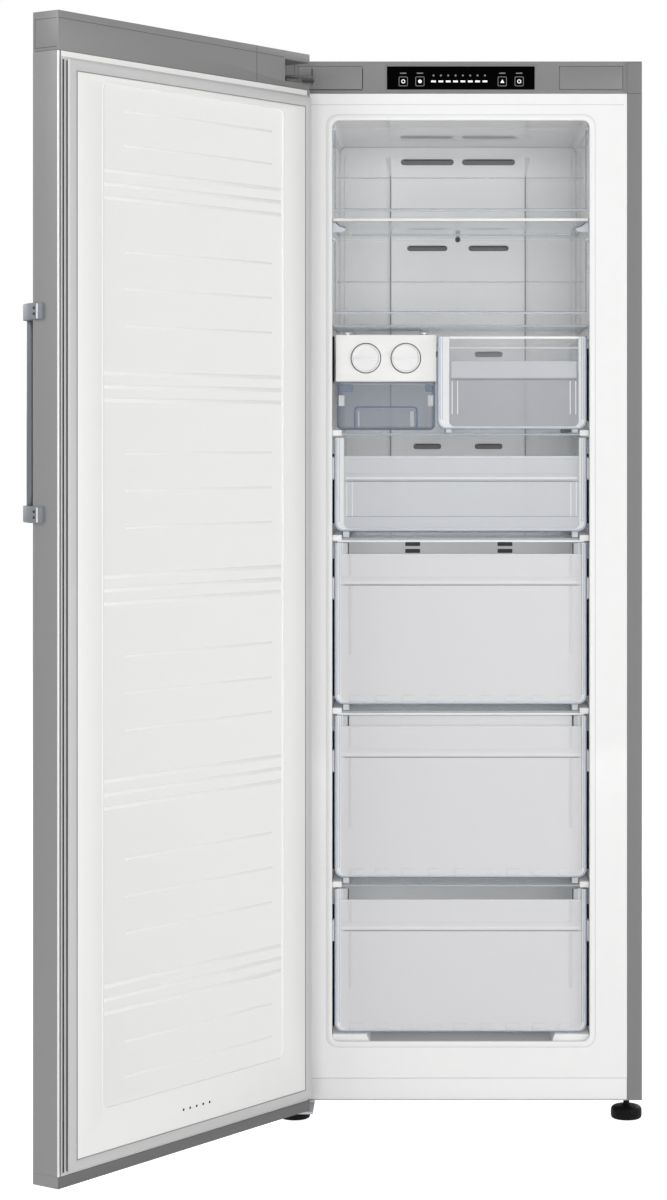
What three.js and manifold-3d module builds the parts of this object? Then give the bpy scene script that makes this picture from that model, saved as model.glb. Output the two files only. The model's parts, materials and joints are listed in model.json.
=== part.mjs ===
// Upright frost-free freezer with its door standing open: cabinet, cooling system, glass shelves,
// two flaps, ice maker, drawers, and the hinged door with its bar handle.
// Millimetres. +X is right, +Y goes into the cabinet from its front plane, +Z is up from the floor.
import * as THREE from "three";
import { mergeVertices } from "three/addons/utils/BufferGeometryUtils.js";
import Module from "manifold-3d";

const wasm = await Module();
wasm.setup();

// ---- Clearances and sheet thicknesses ----
const FIT = 0.3; // between pieces that touch
const RUN = 0.4; // round a turning pin or shaft
const STEEL_SHEET = 0.8;
const BASE_SHEET = 1.5;
const LINER_WALL = 2;
const PLASTIC_WALL = 2.5;

// ---- Cabinet ----
const CABINET_WIDTH = 595;
const CABINET_DEPTH = 560;
const FLOOR_CLEARANCE = 35;
const KICK_HEIGHT = 36.6;
const KICK_DEPTH = 18;
const SILL_HEIGHT = 55.4;
const HEADER_HEIGHT = 43.4;
const FASCIA_HEIGHT = 52.6;
const FASCIA_DEPTH = 70;
const FASCIA_LIP = 8;
const FRONT_FLANGE = 24.5;

// ---- Cavity, from the top bay down ----
const OPENING_WIDTH = 424;
const OPENING_CORNER = 12;
const REAR_INSULATION = 62;
const UPPER_FLAP_BAY = 159;
const LOWER_FLAP_BAY = 172;
const ICE_BAY = 175;
const SHALLOW_BAY = 169;
const LARGE_BAY_1 = 281;
const LARGE_BAY_2 = 282;
const LARGE_BAY_3 = 255;

// ---- Shelves ----
const GLASS = 4;
const GROOVE_DEPTH = 3.5;
const SHELF_SETBACK = 24;
const LIP_TOP_WIDTH = 376;
const LIP_SIDE_STEP = 7;
const LIP_DROP = 23;
const LIP_SETBACK = 10;
const LIP_THICKNESS = 3;

// ---- Rear duct, evaporator and fan ----
const DUCT_DEPTH = 54;
const DUCT_WIDTH = 239;
const DUCT_STEP = 10;
const DUCT_TOP_DROP = 19;
const WIDE_SLOT = 95;
const WIDE_SLOT_HEIGHT = 11;
const MIDDLE_SLOT = 72;
const MIDDLE_SLOT_HEIGHT = 10;
const NARROW_SLOT = 50;
const NARROW_SLOT_HEIGHT = 10;
const SLOT_CENTRE = 55;
const TOP_SLOT_DROP = 27.6;
const OTHER_SLOT_DROP = 19;
const ICE_SLOT_DROP = 33;
const VENT_WIDTH = 25.8;
const VENT_HEIGHT = 7;
const VENT_CENTRE = 80.5;
const VENT_DROP = 20;
const VENT_PITCH = 12;
const RETURN_SLOT = 60;
const EVAPORATOR_WIDTH = 370;
const EVAPORATOR_DEPTH = 92;
const EVAPORATOR_HEIGHT = 250;
const EVAPORATOR_SPINE = 14;
const EVAPORATOR_LIFT = 42;
const FIN_SLOTS = 10;
const FIN_SLOT = 26;
const COIL_RADIUS = 5;
const COIL_ROWS = 3;
const HEATER_RADIUS = 5;
const HEATER_LIFT = 18;
const FAN_DROP = 124;
const FAN_RADIUS = 55;
const FAN_BLADES = 5;
const FAN_HUB_RADIUS = 16;
const FAN_BLADE_THICKNESS = 2;
const FAN_BLADE_CHORD = 26;
const FAN_BLADE_PITCH = THREE.MathUtils.degToRad(32);
const MOTOR_RADIUS = 32;
const MOTOR_LENGTH = 36;
const SHAFT_RADIUS = 3;

// ---- Compressor compartment ----
const COMPARTMENT_DEPTH = 214;
const COMPARTMENT_HEIGHT = 301;
const HUMP_INSULATION = 50;
const COMPRESSOR_X = 90;
const COMPRESSOR_RADIUS = 78;
const COMPRESSOR_HEIGHT = 176;
const GROMMET_RADIUS = 9;
const GROMMET_HEIGHT = 13;
const GROMMET_SPREAD = 88;
const CARRIER_SHEET = 3;
const RELAY_WIDTH = 50;
const RELAY_HEIGHT = 60;
const FITTING_REACH = 22;
const FITTING_ROOT = 12;
const TRAY_WIDTH = 190;
const TRAY_DEPTH = 150;
const TRAY_HEIGHT = 28;
const GRILLE_SLOTS = 6;
const GRILLE_SLOT = 8;
const GRILLE_WIDTH = 180;
const GRILLE_PITCH = 26;
const INLET_FROM_SIDE = 74.5;
const INLET_WIDTH = 54;
const INLET_HEIGHT = 40;
const INLET_DEPTH = 30;
const INLET_LIFT = 34;
const SOCKET_WIDTH = 24.5;
const SOCKET_HEIGHT = 17;
const SOCKET_DEPTH = 18;

// ---- Control fascia ----
const WINDOW_HEIGHT = 37.7;
const WINDOW_LIFT = 6.6;
const LENS_WIDTH = 242;
const LENS_PROUD = 0.6;
const COVER_WIDTH = 103.5;
const COVER_MARGIN = 32;
const COVER_PROUD = 1;
const BOARD_THICKNESS = 3;
const BOARD_MARGIN = 5;

// ---- Door ----
const DOOR_THICKNESS = 50;
const DOOR_OVER = 3;
const DOOR_BOTTOM = 33;
const DOOR_GAP = 14;
const DOOR_OPENED = 125.4; // degrees, as the door stands
const PIVOT_FROM_EDGE = 14;
const PIVOT_FROM_FACE = 13;
const RIM_WIDTH = 6.6;
const TOP_CAP_HEIGHT = 58;
const BOTTOM_CAP_HEIGHT = 17;
const CAP_WALL = 3;
const GASKET_WIDTH = 20.5;
const GASKET_HEIGHT = 12.7;
const GASKET_MARGIN = 7;
const GASKET_BOTTOM = 19;
const GASKET_TOP = 67;
const PANEL_DEPTH = 12.5;
const FIELD_MARGIN = 56;
const FIELD_RECESS = 2.5;
const FIELD_CORNER = 12;
const FIELD_LIFT = 62.4;
const FIELD_TOP_MARGIN = 9.7;

// ---- Hinges ----
const PIN_RADIUS = 5;
const BUSH_WALL = 2.7;
const BUSH_FLANGE = 1.4;
const FLANGE_THICKNESS = 1.4;
const HINGE_PLATE = 4;
const ARM_WIDTH = 18;
const ARM_REACH = 33;
const ARM_LIFT = 21;
const ARM_TAIL = 60;
const POCKET_LENGTH = 64;
const POCKET_FLOOR = 9;
const POCKET_ROOF = 14;
const BRACKET_WIDTH = 57;
const BRACKET_TAIL = 50;
const BRACKET_NOSE = 12;

// ---- Handle ----
const BAR_RADIUS = 7;
const BAR_FROM_EDGE = 36;
const BAR_STAND = 37;
const HANDLE_TOP = 1319;
const HANDLE_LENGTH = 321;
const HOLDER_HEIGHT = 24;
const HOLDER_THICKNESS = 5;
const HOLDER_TAIL = 22;

// ---- Feet and rollers ----
const FOOT_FROM_SIDE = 23.9;
const FOOT_Y = 30;
const FOOT_RADIUS = 25;
const FOOT_HEIGHT = 21;
const STEM_RADIUS = 5;
const FOOT_EDGE = 1.5;
const FOOT_SHOULDER = 4;
const ROLLER_FROM_SIDE = 35.5;
const ROLLER_FROM_REAR = 40;
const ROLLER_RADIUS = 17;
const ROLLER_WIDTH = 22;
const AXLE_RADIUS = 4;
const CHEEK = 2;
const CHEEK_WIDTH = 28;

// ---- Flaps ----
const FLAP_SETBACK = 40;
const FLAP_THICKNESS = 3;
const FLAP_SIDE_GAP = 3;
const FLAP_PIN_RADIUS = 3.5;
const FLAP_PIN_REACH = 3;
const UPPER_PIVOT_DROP = 10;
const LOWER_PIVOT_DROP = 30;
const UPPER_FLAP_HEIGHT = 137;
const LOWER_FLAP_HEIGHT = 124;
const FLAP_LIP = 9;

// ---- Drawers ----
const DRAWER_WALL = 2.5;
const DRAWER_FRONT = 4;
const DRAWER_SIDE_GAP = 4;
const DRAWER_INSET = 5;
const DRAWER_CORNER = 10;
const DRAWER_SETBACK = 20;
const DRAWER_TOP_GAP = 3;
const DRAWER_LIFT = 12.5;
const BOTTOM_DRAWER_LIFT = 17.5;
const SMALL_DRAWER_LIFT = 8;
const RUNNER_WIDTH = 12;
const DRAWER_GRIP = 6;
const GRIP_THICKNESS = 3;
const LARGE_FRONT_DROP = 22;
const SHALLOW_FRONT_DROP = 35;
const DRAWER_REAR_GAP = 12;
const DRAWER_STEPS = 4; // facets to each rounded corner
const SMALL_DRAWER_WIDTH = 246.4;
const SMALL_DRAWER_HEIGHT = 159.6;

// ---- Ice maker ----
const ICE_SETBACK = 50;
const ICE_DEPTH = 250;
const ICE_LEFT_GAP = 5.2;
const ICE_WIDTH = 166.3;
const ICE_BIN_RUNNER = 5.3;
const ICE_BIN_HEIGHT = 84;
const ICE_BIN_INSET = 1.7;
const ICE_BIN_LENGTH = 236;
const PULL_WIDTH = 106;
const PULL_HEIGHT = 36;
const PULL_DEPTH = 25;
const HOUSING_LIFT = 1.5;
const HOUSING_HEIGHT = 77.1;
const KNOB_PITCH = 66.2;
const KNOB_RADIUS = 23.75;
const KNOB_THICKNESS = 6;
const KNOB_GRIP = 6;
const KNOB_SHAFT_RADIUS = 8;
const TRAY_SHAFT_RADIUS = 5;
const ICE_TRAY_HALF = 27;
const ICE_TRAY_RISE = 6;
const ICE_TRAY_FALL = 18;
const ICE_TRAY_WALL = 1.6;
const RAIL_WIDTH = 16;
const RAIL_WALL = 1.6;
const RAIL_INSET = 20;
const RIB_STEM = 3;
const RIB_HEAD = 8;

// ---- Places worked out from the sizes above ----
const BAYS = [
  UPPER_FLAP_BAY,
  LOWER_FLAP_BAY,
  ICE_BAY,
  SHALLOW_BAY,
  LARGE_BAY_1,
  LARGE_BAY_2,
  LARGE_BAY_3,
];
const CAVITY_HEIGHT = BAYS.reduce((sum, bay) => sum + bay, 0) + (BAYS.length - 1) * GLASS;
const BODY_BOTTOM = FLOOR_CLEARANCE;
const INNER_FLOOR = BODY_BOTTOM + BASE_SHEET + FIT;
const KICK_TOP = BODY_BOTTOM + KICK_HEIGHT;
const CAVITY_BOTTOM = KICK_TOP + SILL_HEIGHT;
const CAVITY_TOP = CAVITY_BOTTOM + CAVITY_HEIGHT;
const FASCIA_BOTTOM = CAVITY_TOP + HEADER_HEIGHT;
const CABINET_TOP = FASCIA_BOTTOM + FASCIA_HEIGHT;
const BODY_TOP = CABINET_TOP - STEEL_SHEET - FIT;
const HALF_WIDTH = CABINET_WIDTH / 2;
const HALF_INNER = HALF_WIDTH - STEEL_SHEET - FIT;
const HALF_FRAME = HALF_WIDTH - FRONT_FLANGE - FIT;
const HALF_OPENING = OPENING_WIDTH / 2;
const REAR_INNER = CABINET_DEPTH - STEEL_SHEET - FIT;
const CAVITY_REAR = REAR_INNER - REAR_INSULATION - LINER_WALL - FIT;
const COMPARTMENT_FRONT = CABINET_DEPTH - COMPARTMENT_DEPTH;
const COMPARTMENT_TOP = BODY_BOTTOM + COMPARTMENT_HEIGHT;
const HUMP_FACE = COMPARTMENT_FRONT - HUMP_INSULATION - LINER_WALL;
const HUMP_TOP = COMPARTMENT_TOP + HUMP_INSULATION + LINER_WALL;
const DUCT_BACK = CAVITY_REAR - DUCT_DEPTH;
const DUCT_FACE = DUCT_BACK - DUCT_STEP;
const SHELF_TOPS = BAYS.slice(0, -1).map((_, i) => {
  const above = BAYS.slice(0, i + 1).reduce((sum, bay) => sum + bay, 0);
  return CAVITY_TOP - above - i * GLASS;
});
const BAY_FLOORS = [...SHELF_TOPS, CAVITY_BOTTOM];
const DECK_LEVEL = SHELF_TOPS[3];
const isDeep = (level) => level > DECK_LEVEL;
const shelfRear = (level) => (isDeep(level) ? DUCT_FACE : HUMP_FACE) - 2 * FIT;

const FOOT_X = HALF_WIDTH - FOOT_FROM_SIDE;
const ROLLER_X = HALF_WIDTH - ROLLER_FROM_SIDE;
const INLET_X = INLET_FROM_SIDE - HALF_WIDTH;
const COVER_MIDDLE = HALF_WIDTH - COVER_MARGIN - COVER_WIDTH / 2;
const PIVOT_X = PIVOT_FROM_EDGE - HALF_WIDTH;
const PIVOT_Y = -DOOR_GAP - DOOR_THICKNESS + PIVOT_FROM_FACE;
const DOOR_LEFT = -PIVOT_FROM_EDGE;
const DOOR_RIGHT = CABINET_WIDTH - PIVOT_FROM_EDGE;
const DOOR_FACE = -PIVOT_FROM_FACE;
const DOOR_RIM = DOOR_THICKNESS - PIVOT_FROM_FACE;
const DOOR_TOP = CABINET_TOP + DOOR_OVER;
const CAP_BOTTOM = DOOR_TOP - TOP_CAP_HEIGHT;
const BOTTOM_CAP_TOP = DOOR_BOTTOM + BOTTOM_CAP_HEIGHT;
const ARM_BOTTOM = CAP_BOTTOM + ARM_LIFT;
const BUSH_RADIUS = PIN_RADIUS + RUN + BUSH_WALL;

// ---- Finishes: colour, roughness, metalness ----
const finish = (color, roughness, metalness = 0) =>
  new THREE.MeshStandardMaterial({ color, roughness, metalness });
const clear = (color, roughness, opacity) =>
  new THREE.MeshStandardMaterial({ color, roughness, transparent: true, opacity });
const FINISH = {
  brushedSteel: finish(0xb4b4b4, 0.38, 0.9),
  silverPaint: finish(0x8d8d8d, 0.5, 0.2),
  zincSteel: finish(0xb9bcc0, 0.45, 0.8),
  greyPlastic: finish(0x868686, 0.55),
  whitePlastic: finish(0xf1f1f0, 0.45),
  coolWhitePlastic: finish(0xd9dcdf, 0.4),
  darkLens: finish(0x0c0c0d, 0.12),
  circuitBoard: finish(0x2f6b3a, 0.6),
  blackPlastic: finish(0x1b1b1c, 0.5),
  blackEnamel: finish(0x151515, 0.35, 0.3),
  greyRubber: finish(0xc3c3c3, 0.7),
  foam: finish(0xe8dfb8, 0.95),
  aluminium: finish(0xc9ccd0, 0.35, 0.9),
  copper: finish(0xb87333, 0.4, 0.9),
  handleMetal: finish(0x8f949c, 0.3, 0.85),
  shelfGlass: clear(0xdfeaea, 0.08, 0.35),
  clearPlastic: clear(0xe6edf2, 0.15, 0.4),
  frostedPlastic: clear(0xe9ebed, 0.35, 0.7),
};

// ---- Solids ----
const solidOf = (geometry) => {
  geometry.deleteAttribute("normal");
  geometry.deleteAttribute("uv");
  const merged = mergeVertices(geometry, 1e-4);
  const vertProperties = merged.attributes.position.array;
  const triVerts = new Uint32Array(merged.index.array);
  return new wasm.Manifold(new wasm.Mesh({ numProp: 3, vertProperties, triVerts }));
};

const box = ([x0, x1], [y0, y1], [z0, z1]) => {
  const geometry = new THREE.BoxGeometry(x1 - x0, y1 - y0, z1 - z0);
  geometry.translate((x0 + x1) / 2, (y0 + y1) / 2, (z0 + z1) / 2);
  return solidOf(geometry);
};

const X_AXIS = new THREE.Vector3(1, 0, 0);
const Y_AXIS = new THREE.Vector3(0, 1, 0);
const Z_AXIS = new THREE.Vector3(0, 0, 1);

const extrude = (shape, length, steps = 4) =>
  new THREE.ExtrudeGeometry(shape, { depth: length, bevelEnabled: false, curveSegments: steps });

// A plan outline in X and Y, raised from z0 to z1.
const raise = (shape, [z0, z1]) => solidOf(extrude(shape, z1 - z0).translate(0, 0, z0));

// A front outline in X and Z, carried back from y0 to y1.
const carryBack = (shape, [y0, y1], steps) => {
  const facing = new THREE.Matrix4().makeBasis(X_AXIS, Z_AXIS, Y_AXIS.clone().negate());
  return solidOf(extrude(shape, y1 - y0, steps).applyMatrix4(facing).translate(0, y1, 0));
};

const rodGeometry = (radius, length, sides) =>
  new THREE.CylinderGeometry(radius, radius, length, sides);

const rodAlongX = (radius, [x0, x1], y, z, sides = 16) =>
  solidOf(rodGeometry(radius, x1 - x0, sides).rotateZ(-Math.PI / 2).translate((x0 + x1) / 2, y, z));

const rodAlongY = (radius, x, [y0, y1], z, sides = 24) =>
  solidOf(rodGeometry(radius, y1 - y0, sides).translate(x, (y0 + y1) / 2, z));

const rodAlongZ = (radius, x, y, [z0, z1], sides = 24) =>
  solidOf(rodGeometry(radius, z1 - z0, sides).rotateX(Math.PI / 2).translate(x, y, (z0 + z1) / 2));

const turned = (profile, sides = 20) => {
  const points = profile.map(([radius, height]) => new THREE.Vector2(radius, height));
  return solidOf(new THREE.LatheGeometry(points, sides).rotateX(Math.PI / 2));
};

const join = (...solids) => solids.reduce((whole, solid) => whole.add(solid));
const cut = (solid, ...tools) => tools.reduce((left, tool) => left.subtract(tool), solid);
const bothSides = (make) => join(make(-1), make(1));
const span = (a, b) => [Math.min(a, b), Math.max(a, b)];
const about = (middle, width) => [middle - width / 2, middle + width / 2];
const polygon = (points) => new THREE.Shape(points.map(([a, b]) => new THREE.Vector2(a, b)));

const roundedOutline = ([x0, x1], [z0, z1], corner) => {
  const shape = new THREE.Shape();
  const quarter = Math.PI / 2;
  shape.absarc(x1 - corner, z0 + corner, corner, -quarter, 0);
  shape.absarc(x1 - corner, z1 - corner, corner, 0, quarter);
  shape.absarc(x0 + corner, z1 - corner, corner, quarter, 2 * quarter);
  shape.absarc(x0 + corner, z0 + corner, corner, 2 * quarter, 3 * quarter);
  shape.closePath();
  return shape;
};

// An outline with only its two lower corners rounded.
const trayOutline = ([x0, x1], [z0, z1], corner) => {
  const shape = new THREE.Shape();
  const quarter = Math.PI / 2;
  shape.absarc(x1 - corner, z0 + corner, corner, -quarter, 0);
  shape.lineTo(x1, z1);
  shape.lineTo(x0, z1);
  shape.absarc(x0 + corner, z0 + corner, corner, 2 * quarter, 3 * quarter);
  shape.closePath();
  return shape;
};

const mesh = (name, solid, material) => {
  const { numProp, vertProperties, triVerts } = solid.getMesh();
  const positions = new Float32Array((vertProperties.length / numProp) * 3);
  for (let i = 0; i < positions.length / 3; i++) {
    positions.set(vertProperties.subarray(i * numProp, i * numProp + 3), i * 3);
  }
  const geometry = new THREE.BufferGeometry();
  geometry.setAttribute("position", new THREE.BufferAttribute(positions, 3));
  geometry.setIndex(new THREE.BufferAttribute(triVerts, 1));
  geometry.computeVertexNormals();
  const made = new THREE.Mesh(geometry, material);
  made.name = name;
  return made;
};

const placed = (piece, x, y, z) => {
  piece.position.set(x, y, z);
  return piece;
};

// ---- Cabinet shell ----
const sidePanel = (side) => {
  const outer = side * HALF_WIDTH;
  const inner = side * (HALF_WIDTH - STEEL_SHEET);
  const flangeEnd = side * (HALF_WIDTH - FRONT_FLANGE);
  const outline = polygon([
    [flangeEnd, 0],
    [outer, 0],
    [outer, CABINET_DEPTH],
    [inner, CABINET_DEPTH],
    [inner, STEEL_SHEET],
    [flangeEnd, STEEL_SHEET],
  ]);
  return raise(outline, [BODY_BOTTOM, BODY_TOP]);
};

const topPanel = () =>
  box(
    [-HALF_WIDTH, HALF_WIDTH],
    [FASCIA_DEPTH + FIT, CABINET_DEPTH],
    [CABINET_TOP - STEEL_SHEET, CABINET_TOP],
  );

const rearPanel = () =>
  box(
    [-HALF_INNER, HALF_INNER],
    [CABINET_DEPTH - STEEL_SHEET, CABINET_DEPTH],
    [COMPARTMENT_TOP + FIT, BODY_TOP],
  );

const ROLLER_Y = CABINET_DEPTH - ROLLER_FROM_REAR;

const rollerFork = (side) => {
  const middle = side * ROLLER_X;
  const reach = ROLLER_WIDTH / 2 + RUN + CHEEK;
  const cheek = (way) => {
    const inner = middle + way * (reach - CHEEK);
    const low = ROLLER_RADIUS - AXLE_RADIUS - CHEEK;
    return box(
      span(inner, middle + way * reach),
      about(ROLLER_Y, CHEEK_WIDTH),
      [low, BODY_BOTTOM + BASE_SHEET],
    );
  };
  const axle = rodAlongX(AXLE_RADIUS, about(middle, 2 * reach), ROLLER_Y, ROLLER_RADIUS);
  return join(bothSides(cheek), axle);
};

const basePlate = () => {
  const floor = box(
    [-HALF_INNER, HALF_INNER],
    [STEEL_SHEET + FIT, REAR_INNER],
    [BODY_BOTTOM, BODY_BOTTOM + BASE_SHEET],
  );
  return join(floor, bothSides(rollerFork));
};

const kickPanel = () => {
  const low = INNER_FLOOR;
  const high = KICK_TOP - FIT;
  const across = [-HALF_FRAME, HALF_FRAME];
  return join(
    box(across, [0, PLASTIC_WALL], [low, high]),
    box(across, [0, KICK_DEPTH], [high - PLASTIC_WALL, high]),
    box(across, [0, KICK_DEPTH], [low, low + PLASTIC_WALL]),
  );
};

// ---- Liner and insulation: the cavity grown by a margin ----
const grooveOf = (level, grow) => {
  const half = HALF_OPENING + GROOVE_DEPTH + grow;
  return box(
    [-half, half],
    [SHELF_SETBACK - FIT - grow, shelfRear(level) + FIT + grow],
    [level - GLASS - FIT - grow, level + FIT + grow],
  );
};

const flapPivots = [
  { name: "flap_upper", height: UPPER_FLAP_HEIGHT, z: CAVITY_TOP - UPPER_PIVOT_DROP },
  { name: "flap_lower", height: LOWER_FLAP_HEIGHT, z: SHELF_TOPS[0] - GLASS - LOWER_PIVOT_DROP },
];

const cavity = (grow, front) => {
  const half = HALF_OPENING + grow;
  const outline = roundedOutline(
    [-half, half],
    [CAVITY_BOTTOM - grow, CAVITY_TOP + grow],
    OPENING_CORNER + grow,
  );
  const whole = carryBack(outline, [front, CAVITY_REAR + grow]);
  const hump = box(
    [-HALF_WIDTH, HALF_WIDTH],
    [HUMP_FACE + grow, CABINET_DEPTH],
    [0, HUMP_TOP - grow],
  );
  const grooves = SHELF_TOPS.map((level) => grooveOf(level, grow));
  const socketReach = HALF_OPENING + FLAP_PIN_REACH + grow;
  const sockets = flapPivots.map(({ z }) => {
    const radius = FLAP_PIN_RADIUS + RUN + grow;
    return rodAlongX(radius, [-socketReach, socketReach], FLAP_SETBACK, z);
  });
  return join(cut(whole, hump), ...grooves, ...sockets);
};

const innerLiner = () => {
  const frame = box(
    [-HALF_FRAME, HALF_FRAME],
    [0, LINER_WALL],
    [KICK_TOP + FIT, FASCIA_BOTTOM - FIT],
  );
  return cut(join(frame, cavity(LINER_WALL, 0)), cavity(0, -LINER_WALL));
};

const cabinetFoam = () => {
  const front = LINER_WALL + FIT;
  const block = box([-HALF_INNER, HALF_INNER], [front, REAR_INNER], [INNER_FLOOR, BODY_TOP]);
  const across = [-CABINET_WIDTH, CABINET_WIDTH];
  const kickSpace = box(across, [0, KICK_DEPTH + FIT], [0, KICK_TOP]);
  const fasciaSpace = box(across, [0, FASCIA_DEPTH + FIT], [FASCIA_BOTTOM - FIT, 2 * CABINET_TOP]);
  const compartment = box(across, [COMPARTMENT_FRONT, CABINET_WIDTH * 2], [0, COMPARTMENT_TOP]);
  return cut(block, kickSpace, fasciaSpace, compartment, cavity(LINER_WALL + FIT, 0));
};

// ---- Shelves ----
const glassShelf = (level, withLip) => {
  const half = HALF_OPENING + GROOVE_DEPTH - FIT;
  const pane = box([-half, half], [SHELF_SETBACK, shelfRear(level)], [-GLASS, 0]);
  if (!withLip) {
    return pane;
  }
  const top = LIP_TOP_WIDTH / 2;
  const bottom = top - LIP_SIDE_STEP;
  const low = -GLASS - LIP_DROP;
  const outline = polygon([
    [-bottom, low],
    [bottom, low],
    [top, -GLASS / 2],
    [-top, -GLASS / 2],
  ]);
  const from = SHELF_SETBACK + LIP_SETBACK;
  return join(pane, carryBack(outline, [from, from + LIP_THICKNESS]));
};

// ---- Air duct and evaporator cover ----
const slot = (width, height, x, z, depth) =>
  carryBack(roundedOutline(about(x, width), about(z, height), height / 2 - FIT), depth, 2);

const airDuctCover = () => {
  const half = HALF_OPENING - FIT;
  const low = DECK_LEVEL + FIT;
  const outline = roundedOutline([-half, half], [CAVITY_BOTTOM, CAVITY_TOP - FIT], OPENING_CORNER);
  const sheet = carryBack(outline, [DUCT_BACK, DUCT_BACK + PLASTIC_WALL]);
  const high = CAVITY_TOP - DUCT_TOP_DROP;
  const raised = box(about(0, DUCT_WIDTH), [DUCT_FACE, DUCT_BACK + PLASTIC_WALL], [low, high]);
  const hollow = box(
    about(0, DUCT_WIDTH - 2 * PLASTIC_WALL),
    [DUCT_FACE + PLASTIC_WALL, CAVITY_REAR],
    [low - FIT, high - PLASTIC_WALL],
  );
  const below = box([-HALF_WIDTH, HALF_WIDTH], [0, CABINET_DEPTH], [0, low]);
  const rows = [
    { width: WIDE_SLOT, height: WIDE_SLOT_HEIGHT, z: CAVITY_TOP - TOP_SLOT_DROP },
    { width: MIDDLE_SLOT, height: MIDDLE_SLOT_HEIGHT, z: SHELF_TOPS[0] - GLASS - OTHER_SLOT_DROP },
    { width: NARROW_SLOT, height: NARROW_SLOT_HEIGHT, z: SHELF_TOPS[1] - GLASS - ICE_SLOT_DROP },
    { width: NARROW_SLOT, height: NARROW_SLOT_HEIGHT, z: SHELF_TOPS[2] - GLASS - OTHER_SLOT_DROP },
  ];
  const airSlots = rows.map(({ width, height, z }) =>
    bothSides((side) => slot(width, height, side * SLOT_CENTRE, z, [DUCT_FACE - FIT, DUCT_BACK])),
  );
  return cut(join(sheet, raised), hollow, below, ...airSlots);
};

const evaporatorCover = () => {
  const half = HALF_OPENING - FIT;
  const across = [-half, half];
  const wall = box(across, [HUMP_FACE, HUMP_FACE + PLASTIC_WALL], [HUMP_TOP + FIT, DECK_LEVEL]);
  const deck = box(across, [HUMP_FACE, CAVITY_REAR - FIT], [DECK_LEVEL - PLASTIC_WALL, DECK_LEVEL]);
  const airPath = box(
    about(0, DUCT_WIDTH - 4 * PLASTIC_WALL),
    [DUCT_BACK + 2 * PLASTIC_WALL, CAVITY_REAR - 2 * PLASTIC_WALL],
    [DECK_LEVEL - 2 * PLASTIC_WALL, DECK_LEVEL + FIT],
  );
  const through = [HUMP_FACE - FIT, HUMP_FACE + PLASTIC_WALL + FIT];
  const vents = [0, 1].flatMap((row) => {
    const z = DECK_LEVEL - VENT_DROP - row * VENT_PITCH;
    return [-1, 1].map((side) =>
      box(about(side * VENT_CENTRE, VENT_WIDTH), through, about(z, VENT_HEIGHT)),
    );
  });
  const returnZ = HUMP_TOP + VENT_DROP;
  const returns = [-2, -1, 0, 1, 2].map((place) =>
    box(about(place * RETURN_SLOT * 1.25, RETURN_SLOT), through, about(returnZ, VENT_HEIGHT)),
  );
  return cut(join(wall, deck), airPath, ...vents, ...returns);
};

const evaporator = () => {
  const half = EVAPORATOR_WIDTH / 2;
  const rear = CAVITY_REAR - FIT;
  const front = rear - EVAPORATOR_DEPTH;
  const low = HUMP_TOP + EVAPORATOR_LIFT;
  const high = low + EVAPORATOR_HEIGHT;
  const pitch = EVAPORATOR_WIDTH / (FIN_SLOTS + 1);
  const spine = rear - EVAPORATOR_SPINE;
  const fins = Array.from({ length: FIN_SLOTS }, (_, i) =>
    box(about(-half + (i + 1) * pitch, FIN_SLOT), [front - FIT, spine], [low - FIT, high + FIT]),
  );
  const rowPitch = EVAPORATOR_HEIGHT / COIL_ROWS;
  const coilY = (front + spine) / 2;
  const coils = Array.from({ length: COIL_ROWS }, (_, i) => {
    const reach = half + COIL_RADIUS;
    return rodAlongX(COIL_RADIUS, [-reach, reach], coilY, low + (i + 0.5) * rowPitch, 6);
  });
  return join(cut(box([-half, half], [front, rear], [low, high]), ...fins), ...coils);
};

const defrostHeater = () => {
  const half = EVAPORATOR_WIDTH / 2 - HEATER_LIFT;
  const y = CAVITY_REAR - EVAPORATOR_DEPTH / 2;
  const z = HUMP_TOP + HEATER_LIFT;
  const clip = (side) =>
    box(
      about(side * (half - HEATER_RADIUS), HEATER_RADIUS),
      about(y, 3 * HEATER_RADIUS),
      [HUMP_TOP + FIT, z + HEATER_RADIUS + PLASTIC_WALL],
    );
  return join(rodAlongX(HEATER_RADIUS, [-half, half], y, z), bothSides(clip));
};

const FAN_Z = DECK_LEVEL - FAN_DROP;
const MOTOR_FRONT = HUMP_FACE + PLASTIC_WALL + FIT;
const FAN_FRONT = MOTOR_FRONT + MOTOR_LENGTH + FAN_BLADE_THICKNESS;
const FAN_DEPTH = FAN_BLADE_CHORD * Math.cos(FAN_BLADE_PITCH);

const fanMotor = () =>
  join(
    rodAlongY(MOTOR_RADIUS, 0, [0, MOTOR_LENGTH], 0),
    rodAlongY(SHAFT_RADIUS, 0, [0, MOTOR_LENGTH + FAN_BLADE_THICKNESS + FAN_DEPTH], 0, 12),
  );

const fanBlade = () => {
  const hub = rodAlongY(FAN_HUB_RADIUS, 0, [0, FAN_DEPTH], 0);
  const bore = rodAlongY(SHAFT_RADIUS + RUN, 0, [-FIT, FAN_DEPTH + FIT], 0, 12);
  const blades = Array.from({ length: FAN_BLADES }, (_, i) => {
    const reach = FAN_RADIUS - FAN_HUB_RADIUS / 2;
    const blade = new THREE.BoxGeometry(FAN_BLADE_CHORD, FAN_BLADE_THICKNESS, reach);
    blade.translate(0, 0, FAN_HUB_RADIUS / 2 + reach / 2);
    blade.rotateZ(Math.PI / 2 - FAN_BLADE_PITCH);
    blade.rotateY((i * 2 * Math.PI) / FAN_BLADES);
    blade.translate(0, FAN_DEPTH / 2, 0);
    return solidOf(blade);
  });
  return cut(join(hub, ...blades), bore);
};

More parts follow.
